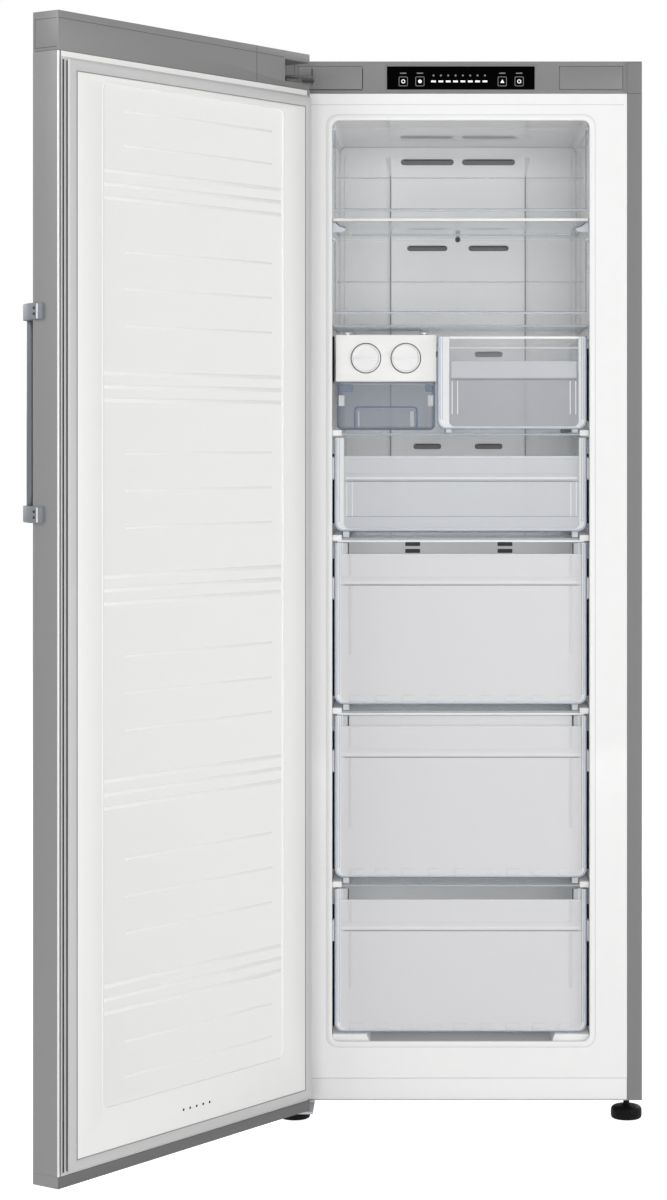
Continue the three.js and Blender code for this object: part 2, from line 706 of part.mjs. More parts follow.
// ---- Compressor compartment ----
const COMPRESSOR_Y = COMPARTMENT_FRONT + COMPARTMENT_DEPTH / 2;
const CARRIER_BOTTOM = INNER_FLOOR + GROMMET_HEIGHT;
const DOME_BOTTOM = CARRIER_BOTTOM + CARRIER_SHEET - FIT;
const DOME_TOP = DOME_BOTTOM + COMPRESSOR_HEIGHT;

const compressor = () => {
  const r = COMPRESSOR_RADIUS;
  const h = COMPRESSOR_HEIGHT;
  const dome = turned([
    [0, 0],
    [r * 0.7, 0],
    [r * 0.95, h * 0.12],
    [r, h * 0.3],
    [r, h * 0.55],
    [r * 0.92, h * 0.78],
    [r * 0.7, h * 0.94],
    [r * 0.4, h],
    [0, h],
  ]).translate([0, 0, DOME_BOTTOM]);
  const half = GROMMET_SPREAD;
  const carrier = box([-half, half], [-half, half], [CARRIER_BOTTOM, CARRIER_BOTTOM + CARRIER_SHEET]);
  const grommets = [-1, 1].flatMap((sx) =>
    [-1, 1].map((sy) => {
      const offset = half - GROMMET_RADIUS;
      const top = CARRIER_BOTTOM + CARRIER_SHEET + FIT;
      return rodAlongZ(GROMMET_RADIUS, sx * offset, sy * offset, [INNER_FLOOR, top], 16);
    }),
  );
  const relay = box(
    [-r - FITTING_REACH, FITTING_ROOT - r],
    about(0, RELAY_WIDTH),
    about(DOME_BOTTOM + h / 2, RELAY_HEIGHT),
  );
  const tubeX = [r - FITTING_ROOT, r + FITTING_REACH];
  const tube = rodAlongX(COIL_RADIUS, tubeX, 0, DOME_BOTTOM + h * 0.4, 12);
  return join(dome, carrier, ...grommets, relay, tube);
};

const dripTray = () => {
  const half = TRAY_WIDTH / 2;
  const deep = TRAY_DEPTH / 2;
  const inner = half - PLASTIC_WALL;
  const innerDeep = deep - PLASTIC_WALL;
  return cut(
    box([-half, half], [-deep, deep], [0, TRAY_HEIGHT]),
    box([-inner, inner], [-innerDeep, innerDeep], [PLASTIC_WALL, TRAY_HEIGHT + FIT]),
  );
};

const INLET_Z = INNER_FLOOR + INLET_LIFT;
const INLET_PROUD = 2;

const compressorCover = () => {
  const sheet = box(
    [-HALF_INNER, HALF_INNER],
    [CABINET_DEPTH - STEEL_SHEET, CABINET_DEPTH],
    [INNER_FLOOR, COMPARTMENT_TOP - FIT],
  );
  const through = [CABINET_DEPTH - 2 * STEEL_SHEET, CABINET_DEPTH + STEEL_SHEET];
  const middle = (INNER_FLOOR + COMPARTMENT_TOP) / 2;
  const slots = Array.from({ length: GRILLE_SLOTS }, (_, i) => {
    const z = middle + (i - (GRILLE_SLOTS - 1) / 2) * GRILLE_PITCH;
    return slot(GRILLE_WIDTH, GRILLE_SLOT, COMPRESSOR_X, z, through);
  });
  const window = box(
    about(INLET_X, INLET_WIDTH + 2 * FIT),
    through,
    about(INLET_Z, INLET_HEIGHT + 2 * FIT),
  );
  return cut(sheet, window, ...slots);
};

const powerInlet = () => {
  const front = CABINET_DEPTH + INLET_PROUD - INLET_DEPTH;
  const rear = CABINET_DEPTH + INLET_PROUD;
  return cut(
    box(about(INLET_X, INLET_WIDTH), [front, rear], about(INLET_Z, INLET_HEIGHT)),
    box(about(INLET_X, SOCKET_WIDTH), [rear - SOCKET_DEPTH, rear + FIT], about(INLET_Z, SOCKET_HEIGHT)),
  );
};

// ---- Control fascia, lens and hinge covers ----
const WINDOW_BOTTOM = FASCIA_BOTTOM + WINDOW_LIFT;
const windowAt = (middle, width, grow, depth) =>
  box(
    about(middle, width + 2 * grow),
    depth,
    [WINDOW_BOTTOM - grow, WINDOW_BOTTOM + WINDOW_HEIGHT + grow],
  );

const controlFascia = () => {
  const low = FASCIA_BOTTOM + FIT;
  const across = [-HALF_FRAME, HALF_FRAME];
  const end = (side) =>
    box(
      span(side * (HALF_FRAME - PLASTIC_WALL), side * HALF_FRAME),
      [0, FASCIA_DEPTH],
      [low + PLASTIC_WALL / 2, CABINET_TOP],
    );
  const shell = join(
    box(across, [0, PLASTIC_WALL], [low, CABINET_TOP]),
    box(across, [0, FASCIA_LIP], [low, low + PLASTIC_WALL]),
    box(across, [0, FASCIA_DEPTH], [CABINET_TOP - PLASTIC_WALL, CABINET_TOP]),
    box([-HALF_WIDTH, HALF_WIDTH], [0, FASCIA_DEPTH], [CABINET_TOP - STEEL_SHEET, CABINET_TOP]),
    bothSides(end),
  );
  const through = [-PLASTIC_WALL, 2 * PLASTIC_WALL];
  return cut(
    shell,
    windowAt(0, LENS_WIDTH, FIT, through),
    bothSides((side) => windowAt(side * COVER_MIDDLE, COVER_WIDTH, FIT, through)),
  );
};

const controlLens = () => windowAt(0, LENS_WIDTH, 0, [-LENS_PROUD, PLASTIC_WALL]);

const controlBoard = () => {
  const back = PLASTIC_WALL + FIT;
  return windowAt(0, LENS_WIDTH, -BOARD_MARGIN, [back, back + BOARD_THICKNESS]);
};

const hingeCover = (side) => {
  const plate = windowAt(side * COVER_MIDDLE, COVER_WIDTH, 0, [-COVER_PROUD, PLASTIC_WALL]);
  const armSlot = box(
    about(PIVOT_X + ARM_REACH, ARM_WIDTH + 2 * RUN),
    [-2 * COVER_PROUD, 2 * PLASTIC_WALL],
    [ARM_BOTTOM - RUN, ARM_BOTTOM + HINGE_PLATE + RUN],
  );
  return side < 0 ? cut(plate, armSlot) : plate;
};

// ---- Hinges, drawn about the door's pivot axis ----
const topHinge = () => {
  const half = ARM_WIDTH / 2;
  const tail = -PIVOT_Y + ARM_TAIL;
  const high = ARM_BOTTOM + HINGE_PLATE;
  const legX = about(ARM_REACH, ARM_WIDTH);
  const seat = FASCIA_BOTTOM;
  return join(
    rodAlongZ(half, 0, 0, [ARM_BOTTOM, high]),
    box([0, ARM_REACH + half], [-half, half], [ARM_BOTTOM, high]),
    box(legX, [-half, tail], [ARM_BOTTOM, high]),
    box(legX, [tail - HINGE_PLATE, tail], [seat, high]),
    box(legX, [-PIVOT_Y + FASCIA_LIP + HINGE_PLATE, tail], [seat, seat + HINGE_PLATE]),
    rodAlongZ(PIN_RADIUS, 0, 0, [CAP_BOTTOM + CAP_WALL, ARM_BOTTOM + FIT]),
  );
};

const HINGE_PLATE_TOP = DOOR_BOTTOM - FLANGE_THICKNESS - 2 * FIT;

const bottomHinge = () => {
  const low = HINGE_PLATE_TOP - HINGE_PLATE;
  const left = -HALF_WIDTH + FIT - PIVOT_X;
  const across = [left, left + BRACKET_WIDTH];
  const tail = -PIVOT_Y + BRACKET_TAIL;
  const boss = box(across, [-PIVOT_Y + 2 * FIT + STEEL_SHEET, tail], [low, BODY_BOTTOM - FIT]);
  const plate = join(
    box([0, left + BRACKET_WIDTH], [-BRACKET_NOSE, tail], [low, HINGE_PLATE_TOP]),
    box(across, [0, tail], [low, HINGE_PLATE_TOP]),
    rodAlongZ(-left, 0, 0, [low, HINGE_PLATE_TOP], 32),
  );
  const pin = rodAlongZ(PIN_RADIUS, 0, 0, [low, BOTTOM_CAP_TOP - CAP_WALL - FIT]);
  const stem = rodAlongZ(STEM_RADIUS + RUN, -FOOT_X - PIVOT_X, FOOT_Y - PIVOT_Y, [0, CABINET_DEPTH]);
  return cut(join(plate, boss, pin), stem);
};

// ---- Feet and rollers ----
const foot = () =>
  turned([
    [0, 0],
    [FOOT_RADIUS - FOOT_EDGE, 0],
    [FOOT_RADIUS, FOOT_EDGE],
    [FOOT_RADIUS, FOOT_HEIGHT - FOOT_SHOULDER],
    [FOOT_RADIUS - FOOT_SHOULDER, FOOT_HEIGHT],
    [STEM_RADIUS, FOOT_HEIGHT],
    [STEM_RADIUS, BODY_BOTTOM - FIT],
    [0, BODY_BOTTOM - FIT],
  ]);

const roller = () =>
  cut(
    rodAlongX(ROLLER_RADIUS, about(0, ROLLER_WIDTH), 0, 0, 32),
    rodAlongX(AXLE_RADIUS + RUN, about(0, 2 * ROLLER_WIDTH), 0, 0),
  );

// ---- Door, drawn closed about its pivot axis ----
const doorSkin = () => {
  const outline = polygon([
    [DOOR_LEFT, DOOR_FACE],
    [DOOR_RIGHT, DOOR_FACE],
    [DOOR_RIGHT, DOOR_RIM],
    [DOOR_RIGHT - RIM_WIDTH, DOOR_RIM],
    [DOOR_RIGHT - RIM_WIDTH, DOOR_RIM - STEEL_SHEET],
    [DOOR_RIGHT - STEEL_SHEET, DOOR_RIM - STEEL_SHEET],
    [DOOR_RIGHT - STEEL_SHEET, DOOR_FACE + STEEL_SHEET],
    [DOOR_LEFT + STEEL_SHEET, DOOR_FACE + STEEL_SHEET],
    [DOOR_LEFT + STEEL_SHEET, DOOR_RIM - STEEL_SHEET],
    [DOOR_LEFT + RIM_WIDTH, DOOR_RIM - STEEL_SHEET],
    [DOOR_LEFT + RIM_WIDTH, DOOR_RIM],
    [DOOR_LEFT, DOOR_RIM],
  ]);
  return raise(outline, [BOTTOM_CAP_TOP + FIT, CAP_BOTTOM - FIT]);
};

const PANEL_X = [
  DOOR_LEFT + GASKET_MARGIN + GASKET_WIDTH + FIT,
  DOOR_RIGHT - GASKET_MARGIN - GASKET_WIDTH - FIT,
];
const PANEL_Z = [
  DOOR_BOTTOM + GASKET_BOTTOM + GASKET_WIDTH + FIT,
  DOOR_TOP - GASKET_TOP - GASKET_WIDTH - FIT,
];
const PANEL_FACE = DOOR_RIM + PANEL_DEPTH;
const FIELD_X = [PANEL_X[0] + FIELD_MARGIN, PANEL_X[1] - FIELD_MARGIN];
const FIELD_Z = [PANEL_Z[0] + FIELD_LIFT, PANEL_Z[1] - FIELD_TOP_MARGIN];
const shrink = ([low, high], margin) => [low + margin, high - margin];

const doorLiner = () => {
  const flangeX = [DOOR_LEFT + RIM_WIDTH + FIT, DOOR_RIGHT - RIM_WIDTH - FIT];
  const flangeZ = [BOTTOM_CAP_TOP + FIT, CAP_BOTTOM - FIT];
  const back = DOOR_RIM - LINER_WALL;
  const fieldFace = PANEL_FACE - FIELD_RECESS;
  const field = (margin) =>
    roundedOutline(shrink(FIELD_X, -margin), shrink(FIELD_Z, -margin), FIELD_CORNER + margin);
  const solid = join(
    box(flangeX, [back, DOOR_RIM], flangeZ),
    box(PANEL_X, [back, PANEL_FACE], PANEL_Z),
  );
  const hollow = cut(
    box(
      shrink(PANEL_X, LINER_WALL),
      [back - LINER_WALL, PANEL_FACE - LINER_WALL],
      shrink(PANEL_Z, LINER_WALL),
    ),
    carryBack(field(LINER_WALL), [fieldFace - LINER_WALL, PANEL_FACE]),
  );
  return cut(solid, hollow, carryBack(field(0), [fieldFace, PANEL_FACE + LINER_WALL]));
};

const doorFoam = () => {
  const skinGap = STEEL_SHEET + FIT;
  const margin = LINER_WALL + FIT;
  return join(
    box(
      [DOOR_LEFT + skinGap, DOOR_RIGHT - skinGap],
      [DOOR_FACE + skinGap, DOOR_RIM - margin],
      [BOTTOM_CAP_TOP + FIT, CAP_BOTTOM - FIT],
    ),
    box(
      shrink(PANEL_X, margin),
      [0, PANEL_FACE - FIELD_RECESS - margin],
      shrink(PANEL_Z, margin),
    ),
  );
};

const doorGasket = () => {
  const depth = [DOOR_RIM + FIT, DOOR_RIM + FIT + GASKET_HEIGHT];
  const innerX = shrink(PANEL_X, -FIT);
  const innerZ = shrink(PANEL_Z, -FIT);
  const outerX = shrink(innerX, -GASKET_WIDTH + FIT);
  const outerZ = shrink(innerZ, -GASKET_WIDTH + FIT);
  return cut(box(outerX, depth, outerZ), box(innerX, shrink(depth, -FIT), innerZ));
};

const BUSH_HOLE = BUSH_RADIUS + FIT;

const doorTopCap = () => {
  const across = [DOOR_LEFT, DOOR_RIGHT];
  const through = [DOOR_FACE, DOOR_RIM];
  const pocketEnd = DOOR_LEFT + POCKET_LENGTH;
  return cut(
    box(across, through, [CAP_BOTTOM, DOOR_TOP]),
    box(
      [pocketEnd + CAP_WALL, DOOR_RIGHT - CAP_WALL],
      shrink(through, CAP_WALL),
      [CAP_BOTTOM - FIT, DOOR_TOP - CAP_WALL],
    ),
    box(
      [DOOR_LEFT - FIT, pocketEnd],
      [DOOR_FACE + CAP_WALL, DOOR_RIM + FIT],
      [CAP_BOTTOM + POCKET_FLOOR, DOOR_TOP - POCKET_ROOF],
    ),
    rodAlongZ(BUSH_HOLE, 0, 0, [CAP_BOTTOM - FIT, CAP_BOTTOM + POCKET_FLOOR + FIT]),
  );
};

const doorBottomCap = () => {
  const across = [DOOR_LEFT, DOOR_RIGHT];
  const through = [DOOR_FACE, DOOR_RIM];
  return cut(
    box(across, through, [DOOR_BOTTOM, BOTTOM_CAP_TOP]),
    box(
      [BUSH_HOLE + CAP_WALL, DOOR_RIGHT - CAP_WALL],
      shrink(through, CAP_WALL),
      [DOOR_BOTTOM + CAP_WALL, BOTTOM_CAP_TOP + FIT],
    ),
    rodAlongZ(BUSH_HOLE, 0, 0, [DOOR_BOTTOM - FIT, BOTTOM_CAP_TOP - CAP_WALL]),
  );
};

// A flanged bush: its flange is at local z 0 and its sleeve runs up to the given length.
const bush = (length) => {
  const bore = PIN_RADIUS + RUN;
  return turned(
    [
      [bore, 0],
      [BUSH_RADIUS + BUSH_FLANGE, 0],
      [BUSH_RADIUS + BUSH_FLANGE, FLANGE_THICKNESS],
      [BUSH_RADIUS, FLANGE_THICKNESS],
      [BUSH_RADIUS, length],
      [bore, length],
      [bore, 0],
    ],
    16,
  );
};

// ---- Handle ----
const BAR_X = DOOR_RIGHT - BAR_FROM_EDGE;
const BAR_Y = DOOR_FACE - BAR_STAND;
const HOLDER_RADIUS = BAR_RADIUS + FIT + HOLDER_THICKNESS;

const handleHolder = () => {
  const face = DOOR_RIGHT + FIT;
  const outer = face + HOLDER_THICKNESS;
  const corner = DOOR_FACE - FIT;
  const arm = new THREE.Shape();
  arm.moveTo(face, DOOR_FACE + HOLDER_TAIL);
  arm.lineTo(face, corner);
  arm.lineTo(face - HOLDER_THICKNESS, corner);
  arm.quadraticCurveTo(face - HOLDER_THICKNESS, BAR_Y + BAR_RADIUS, BAR_X, BAR_Y + HOLDER_THICKNESS);
  arm.lineTo(BAR_X, BAR_Y - HOLDER_RADIUS);
  arm.bezierCurveTo(face - HOLDER_RADIUS, BAR_Y - HOLDER_RADIUS, outer, BAR_Y, outer, corner);
  arm.lineTo(outer, DOOR_FACE + HOLDER_TAIL);
  arm.closePath();
  const height = [0, HOLDER_HEIGHT];
  const boss = rodAlongZ(HOLDER_RADIUS, BAR_X, BAR_Y, height, 32);
  const bore = rodAlongZ(BAR_RADIUS + FIT, BAR_X, BAR_Y, [-FIT, HOLDER_HEIGHT + FIT]);
  return cut(join(raise(arm, height), boss), bore);
};

const handleBar = () => rodAlongZ(BAR_RADIUS, BAR_X, BAR_Y, [1, HANDLE_LENGTH - 1]);

// ---- Flaps, drawn hanging from their pivot line ----
const flap = (height) => {
  const half = HALF_OPENING - FLAP_SIDE_GAP;
  const reach = HALF_OPENING + FLAP_PIN_REACH - FIT;
  const face = FLAP_THICKNESS / 2;
  const across = [-half, half];
  const lip = box(across, [-face - FLAP_LIP, face], [-height, -height + FLAP_THICKNESS]);
  const edge = (side) =>
    box(span(side * (half - FLAP_LIP), side * half), [-2 * face, face], [-height * 0.6, 0]);
  return join(
    box(across, [-face, face], [-height, 0]),
    lip,
    bothSides(edge),
    rodAlongX(FLAP_PIN_RADIUS, [-reach, reach], 0, 0),
  );
};

// ---- Drawers, drawn from the middle of the front face at the runners' underside ----
const drawer = ({ width, height, frontHeight = height, depth, lift = DRAWER_LIFT }) => {
  const half = width / 2;
  const body = half - DRAWER_INSET;
  const inner = body - DRAWER_WALL;
  const front = trayOutline([-half, half], [lift - DRAWER_WALL, frontHeight], DRAWER_CORNER);
  const tub = trayOutline([-body, body], [lift, height], DRAWER_CORNER - DRAWER_WALL);
  const grip = box(
    [-half, half],
    [-DRAWER_GRIP, DRAWER_FRONT],
    [frontHeight - GRIP_THICKNESS, frontHeight],
  );
  const room = trayOutline(
    [-inner, inner],
    [lift + DRAWER_WALL, height + FIT],
    DRAWER_CORNER - 2 * DRAWER_WALL,
  );
  const runnerStrip = (side) => {
    const outer = side * (body - DRAWER_CORNER);
    return box(
      span(outer, outer - side * RUNNER_WIDTH),
      [DRAWER_FRONT / 2, depth - RUNNER_WIDTH],
      [0, lift + DRAWER_WALL / 2],
    );
  };
  return cut(
    join(
      carryBack(front, [0, DRAWER_FRONT], DRAWER_STEPS),
      carryBack(tub, [DRAWER_WALL, depth], DRAWER_STEPS),
      grip,
      bothSides(runnerStrip),
    ),
    carryBack(room, [DRAWER_FRONT, depth - DRAWER_WALL], DRAWER_STEPS),
    box([-half, half], [-DRAWER_GRIP, DRAWER_FRONT + FIT], [frontHeight, height + FIT]),
  );
};

// ---- Ice maker ----
const ICE_LEFT = -HALF_OPENING + ICE_LEFT_GAP;
const ICE_MIDDLE = ICE_LEFT + ICE_WIDTH / 2;
const ICE_FLOOR = SHELF_TOPS[2] + FIT;
const HOUSING_BOTTOM = ICE_FLOOR + ICE_BIN_HEIGHT + HOUSING_LIFT;
const HOUSING_TOP = HOUSING_BOTTOM + HOUSING_HEIGHT;
const HOUSING_REAR = ICE_SETBACK + ICE_DEPTH;
const KNOB_Z = HOUSING_BOTTOM + HOUSING_HEIGHT / 2;
const RAIL_BOTTOM = HOUSING_TOP + FIT;
const RAIL_TOP = SHELF_TOPS[1] - GLASS - FIT;
const RAIL_LIP_TOP = RAIL_BOTTOM + RAIL_WALL;
const RIB_HEAD_BOTTOM = RAIL_LIP_TOP + FIT;
const railX = (side) => ICE_MIDDLE + side * (ICE_WIDTH / 2 - RAIL_INSET);

const iceBin = () => {
  const half = ICE_WIDTH / 2 - ICE_BIN_INSET;
  const inner = half - DRAWER_WALL;
  const low = ICE_BIN_RUNNER;
  const pull = PULL_WIDTH / 2;
  const pullTop = low + PULL_HEIGHT;
  const tub = carryBack(
    trayOutline([-half, half], [low, ICE_BIN_HEIGHT], DRAWER_CORNER),
    [0, ICE_BIN_LENGTH],
  );
  const room = carryBack(
    trayOutline([-inner, inner], [low + DRAWER_WALL, ICE_BIN_HEIGHT + FIT], DRAWER_CORNER - DRAWER_WALL),
    [DRAWER_WALL, ICE_BIN_LENGTH - DRAWER_WALL],
  );
  const pullWall = box(
    [-pull - DRAWER_WALL, pull + DRAWER_WALL],
    [0, PULL_DEPTH + DRAWER_WALL],
    [low, pullTop + DRAWER_WALL],
  );
  const pullSpace = box([-pull, pull], [-FIT, PULL_DEPTH], [0, pullTop]);
  const runnerStrip = (side) => {
    const outer = side * (half - DRAWER_CORNER);
    return box(
      span(outer, outer - side * RUNNER_WIDTH),
      [DRAWER_FRONT, ICE_BIN_LENGTH - RUNNER_WIDTH],
      [0, low + DRAWER_WALL / 2],
    );
  };
  return cut(join(cut(tub, room), pullWall, bothSides(runnerStrip)), pullSpace);
};

const iceMakerHousing = () => {
  const left = ICE_MIDDLE - ICE_WIDTH / 2;
  const right = ICE_MIDDLE + ICE_WIDTH / 2;
  const outer = box([left, right], [ICE_SETBACK, HOUSING_REAR], [HOUSING_BOTTOM, HOUSING_TOP]);
  const room = box(
    [left + PLASTIC_WALL, right - PLASTIC_WALL],
    [ICE_SETBACK + PLASTIC_WALL, HOUSING_REAR - PLASTIC_WALL],
    [HOUSING_BOTTOM - FIT, HOUSING_TOP + FIT],
  );
  const flange = (side) => {
    const middle = railX(side);
    const y = [ICE_SETBACK, HOUSING_REAR];
    const inner = middle - side * RIB_HEAD;
    return join(
      box(span(inner, side < 0 ? left : right), y, [HOUSING_TOP - PLASTIC_WALL, HOUSING_TOP]),
      box(about(middle, RIB_STEM), y, [HOUSING_TOP - FIT, RIB_HEAD_BOTTOM + RAIL_WALL]),
      box(about(middle, RIB_HEAD), y, [RIB_HEAD_BOTTOM, RIB_HEAD_BOTTOM + RAIL_WALL]),
    );
  };
  const holes = [-1, 1].flatMap((side) => {
    const x = ICE_MIDDLE + (side * KNOB_PITCH) / 2;
    return [
      rodAlongY(KNOB_SHAFT_RADIUS + RUN, x, [ICE_SETBACK - FIT, ICE_SETBACK + 2 * PLASTIC_WALL], KNOB_Z),
      rodAlongY(TRAY_SHAFT_RADIUS + RUN, x, [HOUSING_REAR - 2 * PLASTIC_WALL, HOUSING_REAR + FIT], KNOB_Z),
    ];
  });
  return cut(join(cut(outer, room), bothSides(flange)), ...holes);
};

const iceMakerRail = () => {
  const y = [ICE_SETBACK + PLASTIC_WALL, HOUSING_REAR - PLASTIC_WALL];
  const channel = (side) => {
    const middle = railX(side);
    const outer = box(about(middle, RAIL_WIDTH), y, [RAIL_BOTTOM, RAIL_TOP]);
    const along = shrink(y, -FIT);
    const ceiling = RAIL_TOP - RAIL_WALL;
    const inside = box(about(middle, RAIL_WIDTH - 2 * RAIL_WALL), along, [RAIL_LIP_TOP, ceiling]);
    const mouth = box(about(middle, RIB_STEM + 4 * RUN), along, [RAIL_BOTTOM - FIT, ceiling]);
    return cut(outer, inside, mouth);
  };
  const bridge = box([railX(-1), railX(1)], y, [RAIL_TOP - RAIL_WALL, RAIL_TOP]);
  return join(bothSides(channel), bridge);
};

// The knob and tray are drawn about the axis they turn on.
const iceKnob = () => {
  const front = ICE_SETBACK - FIT - KNOB_THICKNESS;
  const disc = rodAlongY(KNOB_RADIUS, 0, [front, ICE_SETBACK - FIT], 0, 32);
  const grip = (side) => {
    const inner = (side * KNOB_GRIP) / 2;
    const outer = side * KNOB_RADIUS;
    return box([-KNOB_RADIUS, KNOB_RADIUS], [front - FIT, front + KNOB_THICKNESS / 2], span(inner, outer));
  };
  const ringLimit = rodAlongY(KNOB_RADIUS - PLASTIC_WALL, 0, [front - 2 * FIT, ICE_SETBACK], 0, 32);
  const shaft = rodAlongY(KNOB_SHAFT_RADIUS, 0, [ICE_SETBACK - 2 * FIT, ICE_SETBACK + 2 * PLASTIC_WALL], 0);
  return join(cut(disc, bothSides(grip).intersect(ringLimit)), shaft);
};

const iceTray = () => {
  const front = ICE_SETBACK + 2 * PLASTIC_WALL + FIT;
  const rear = HOUSING_REAR - PLASTIC_WALL - 2;
  const half = ICE_TRAY_HALF;
  const inner = half - ICE_TRAY_WALL;
  const outline = trayOutline([-half, half], [-ICE_TRAY_FALL, ICE_TRAY_RISE], DRAWER_CORNER);
  const roomOutline = trayOutline(
    [-inner, inner],
    [-ICE_TRAY_FALL + ICE_TRAY_WALL, ICE_TRAY_RISE + FIT],
    DRAWER_CORNER - ICE_TRAY_WALL,
  );
  const body = carryBack(outline, [front, rear]);
  const room = carryBack(roomOutline, [front + ICE_TRAY_WALL, rear - ICE_TRAY_WALL]);
  const shaft = rodAlongY(TRAY_SHAFT_RADIUS, 0, [rear - ICE_TRAY_WALL, HOUSING_REAR - FIT], 0);
  return join(cut(body, room), shaft);
};

// ---- Assembly ----
const cabinet = () => {
  const group = new THREE.Group();
  group.add(
    mesh("side_panel_left", sidePanel(-1), FINISH.silverPaint),
    mesh("side_panel_right", sidePanel(1), FINISH.silverPaint),
    mesh("top_panel", topPanel(), FINISH.silverPaint),
    mesh("rear_panel", rearPanel(), FINISH.zincSteel),
    mesh("base_plate", basePlate(), FINISH.zincSteel),
    mesh("kick_panel", kickPanel(), FINISH.whitePlastic),
    mesh("cabinet_foam", cabinetFoam(), FINISH.foam),
    mesh("inner_liner", innerLiner(), FINISH.whitePlastic),
    mesh("control_fascia", controlFascia(), FINISH.greyPlastic),
    mesh("control_lens", controlLens(), FINISH.darkLens),
    mesh("control_board", controlBoard(), FINISH.circuitBoard),
    mesh("hinge_cover_left", hingeCover(-1), FINISH.greyPlastic),
    mesh("hinge_cover_right", hingeCover(1), FINISH.greyPlastic),
    placed(mesh("top_hinge", topHinge(), FINISH.zincSteel), PIVOT_X, PIVOT_Y, 0),
    placed(mesh("bottom_hinge", bottomHinge(), FINISH.zincSteel), PIVOT_X, PIVOT_Y, 0),
  );
  return group;
};

const shelves = () => {
  const group = new THREE.Group();
  SHELF_TOPS.forEach((level, i) => {
    const pane = mesh(`glass_shelf_${i + 1}`, glassShelf(level, i === 0), FINISH.shelfGlass);
    group.add(placed(pane, 0, 0, level));
  });
  return group;
};

const coolingSystem = () => {
  const group = new THREE.Group();
  group.add(
    mesh("air_duct_cover", airDuctCover(), FINISH.coolWhitePlastic),
    mesh("evaporator_cover", evaporatorCover(), FINISH.coolWhitePlastic),
    mesh("evaporator", evaporator(), FINISH.aluminium),
    mesh("defrost_heater", defrostHeater(), FINISH.aluminium),
    placed(mesh("fan_motor", fanMotor(), FINISH.blackPlastic), 0, MOTOR_FRONT, FAN_Z),
    placed(mesh("fan_blade", fanBlade(), FINISH.whitePlastic), 0, FAN_FRONT, FAN_Z),
    placed(mesh("compressor", compressor(), FINISH.blackEnamel), COMPRESSOR_X, COMPRESSOR_Y, 0),
    placed(mesh("drip_tray", dripTray(), FINISH.blackPlastic), COMPRESSOR_X, COMPRESSOR_Y, DOME_TOP + FIT),
    mesh("compressor_cover", compressorCover(), FINISH.zincSteel),
    mesh("power_inlet", powerInlet(), FINISH.blackPlastic),
  );
  return group;
};

const supports = () => {
  const group = new THREE.Group();
  for (const [side, name] of [
    [-1, "left"],
    [1, "right"],
  ]) {
    group.add(
      placed(mesh(`foot_${name}`, foot(), FINISH.blackPlastic), side * FOOT_X, FOOT_Y, 0),
      placed(
        mesh(`roller_${name}`, roller(), FINISH.blackPlastic),
        side * ROLLER_X,
        ROLLER_Y,
        ROLLER_RADIUS,
      ),
    );
  }
  return group;
};

const door = () => {
  const group = new THREE.Group();
  const bushLow = DOOR_BOTTOM - FLANGE_THICKNESS - FIT;
  const bushUpper = mesh("door_bush_upper", bush(POCKET_FLOOR).rotate([180, 0, 0]), FINISH.blackPlastic);
  const bushLower = mesh("door_bush_lower", bush(BOTTOM_CAP_HEIGHT - CAP_WALL), FINISH.blackPlastic);
  const holders = [
    ["handle_bracket_lower", HANDLE_TOP - HANDLE_LENGTH],
    ["handle_bracket_upper", HANDLE_TOP - HOLDER_HEIGHT],
  ];
  group.add(
    mesh("door_skin", doorSkin(), FINISH.brushedSteel),
    mesh("door_foam", doorFoam(), FINISH.foam),
    mesh("door_liner", doorLiner(), FINISH.whitePlastic),
    mesh("door_gasket", doorGasket(), FINISH.greyRubber),
    mesh("door_top_cap", doorTopCap(), FINISH.greyPlastic),
    mesh("door_bottom_cap", doorBottomCap(), FINISH.greyPlastic),
    placed(bushUpper, 0, 0, CAP_BOTTOM + POCKET_FLOOR + FLANGE_THICKNESS + FIT),
    placed(bushLower, 0, 0, bushLow),
    placed(mesh("handle_bar", handleBar(), FINISH.handleMetal), 0, 0, HANDLE_TOP - HANDLE_LENGTH),
    ...holders.map(([name, z]) => placed(mesh(name, handleHolder(), FINISH.handleMetal), 0, 0, z)),
  );
  group.position.set(PIVOT_X, PIVOT_Y, 0);
  group.rotation.z = -THREE.MathUtils.degToRad(DOOR_OPENED);
  return group;
};

const flaps = () => {
  const group = new THREE.Group();
  for (const { name, height, z } of flapPivots) {
    group.add(placed(mesh(name, flap(height), FINISH.clearPlastic), 0, FLAP_SETBACK, z));
  }
  return group;
};

const drawerHeight = (bay) => bay - DRAWER_TOP_GAP - FIT;
const drawerDepth = (rear) => rear - DRAWER_SETBACK - DRAWER_REAR_GAP;

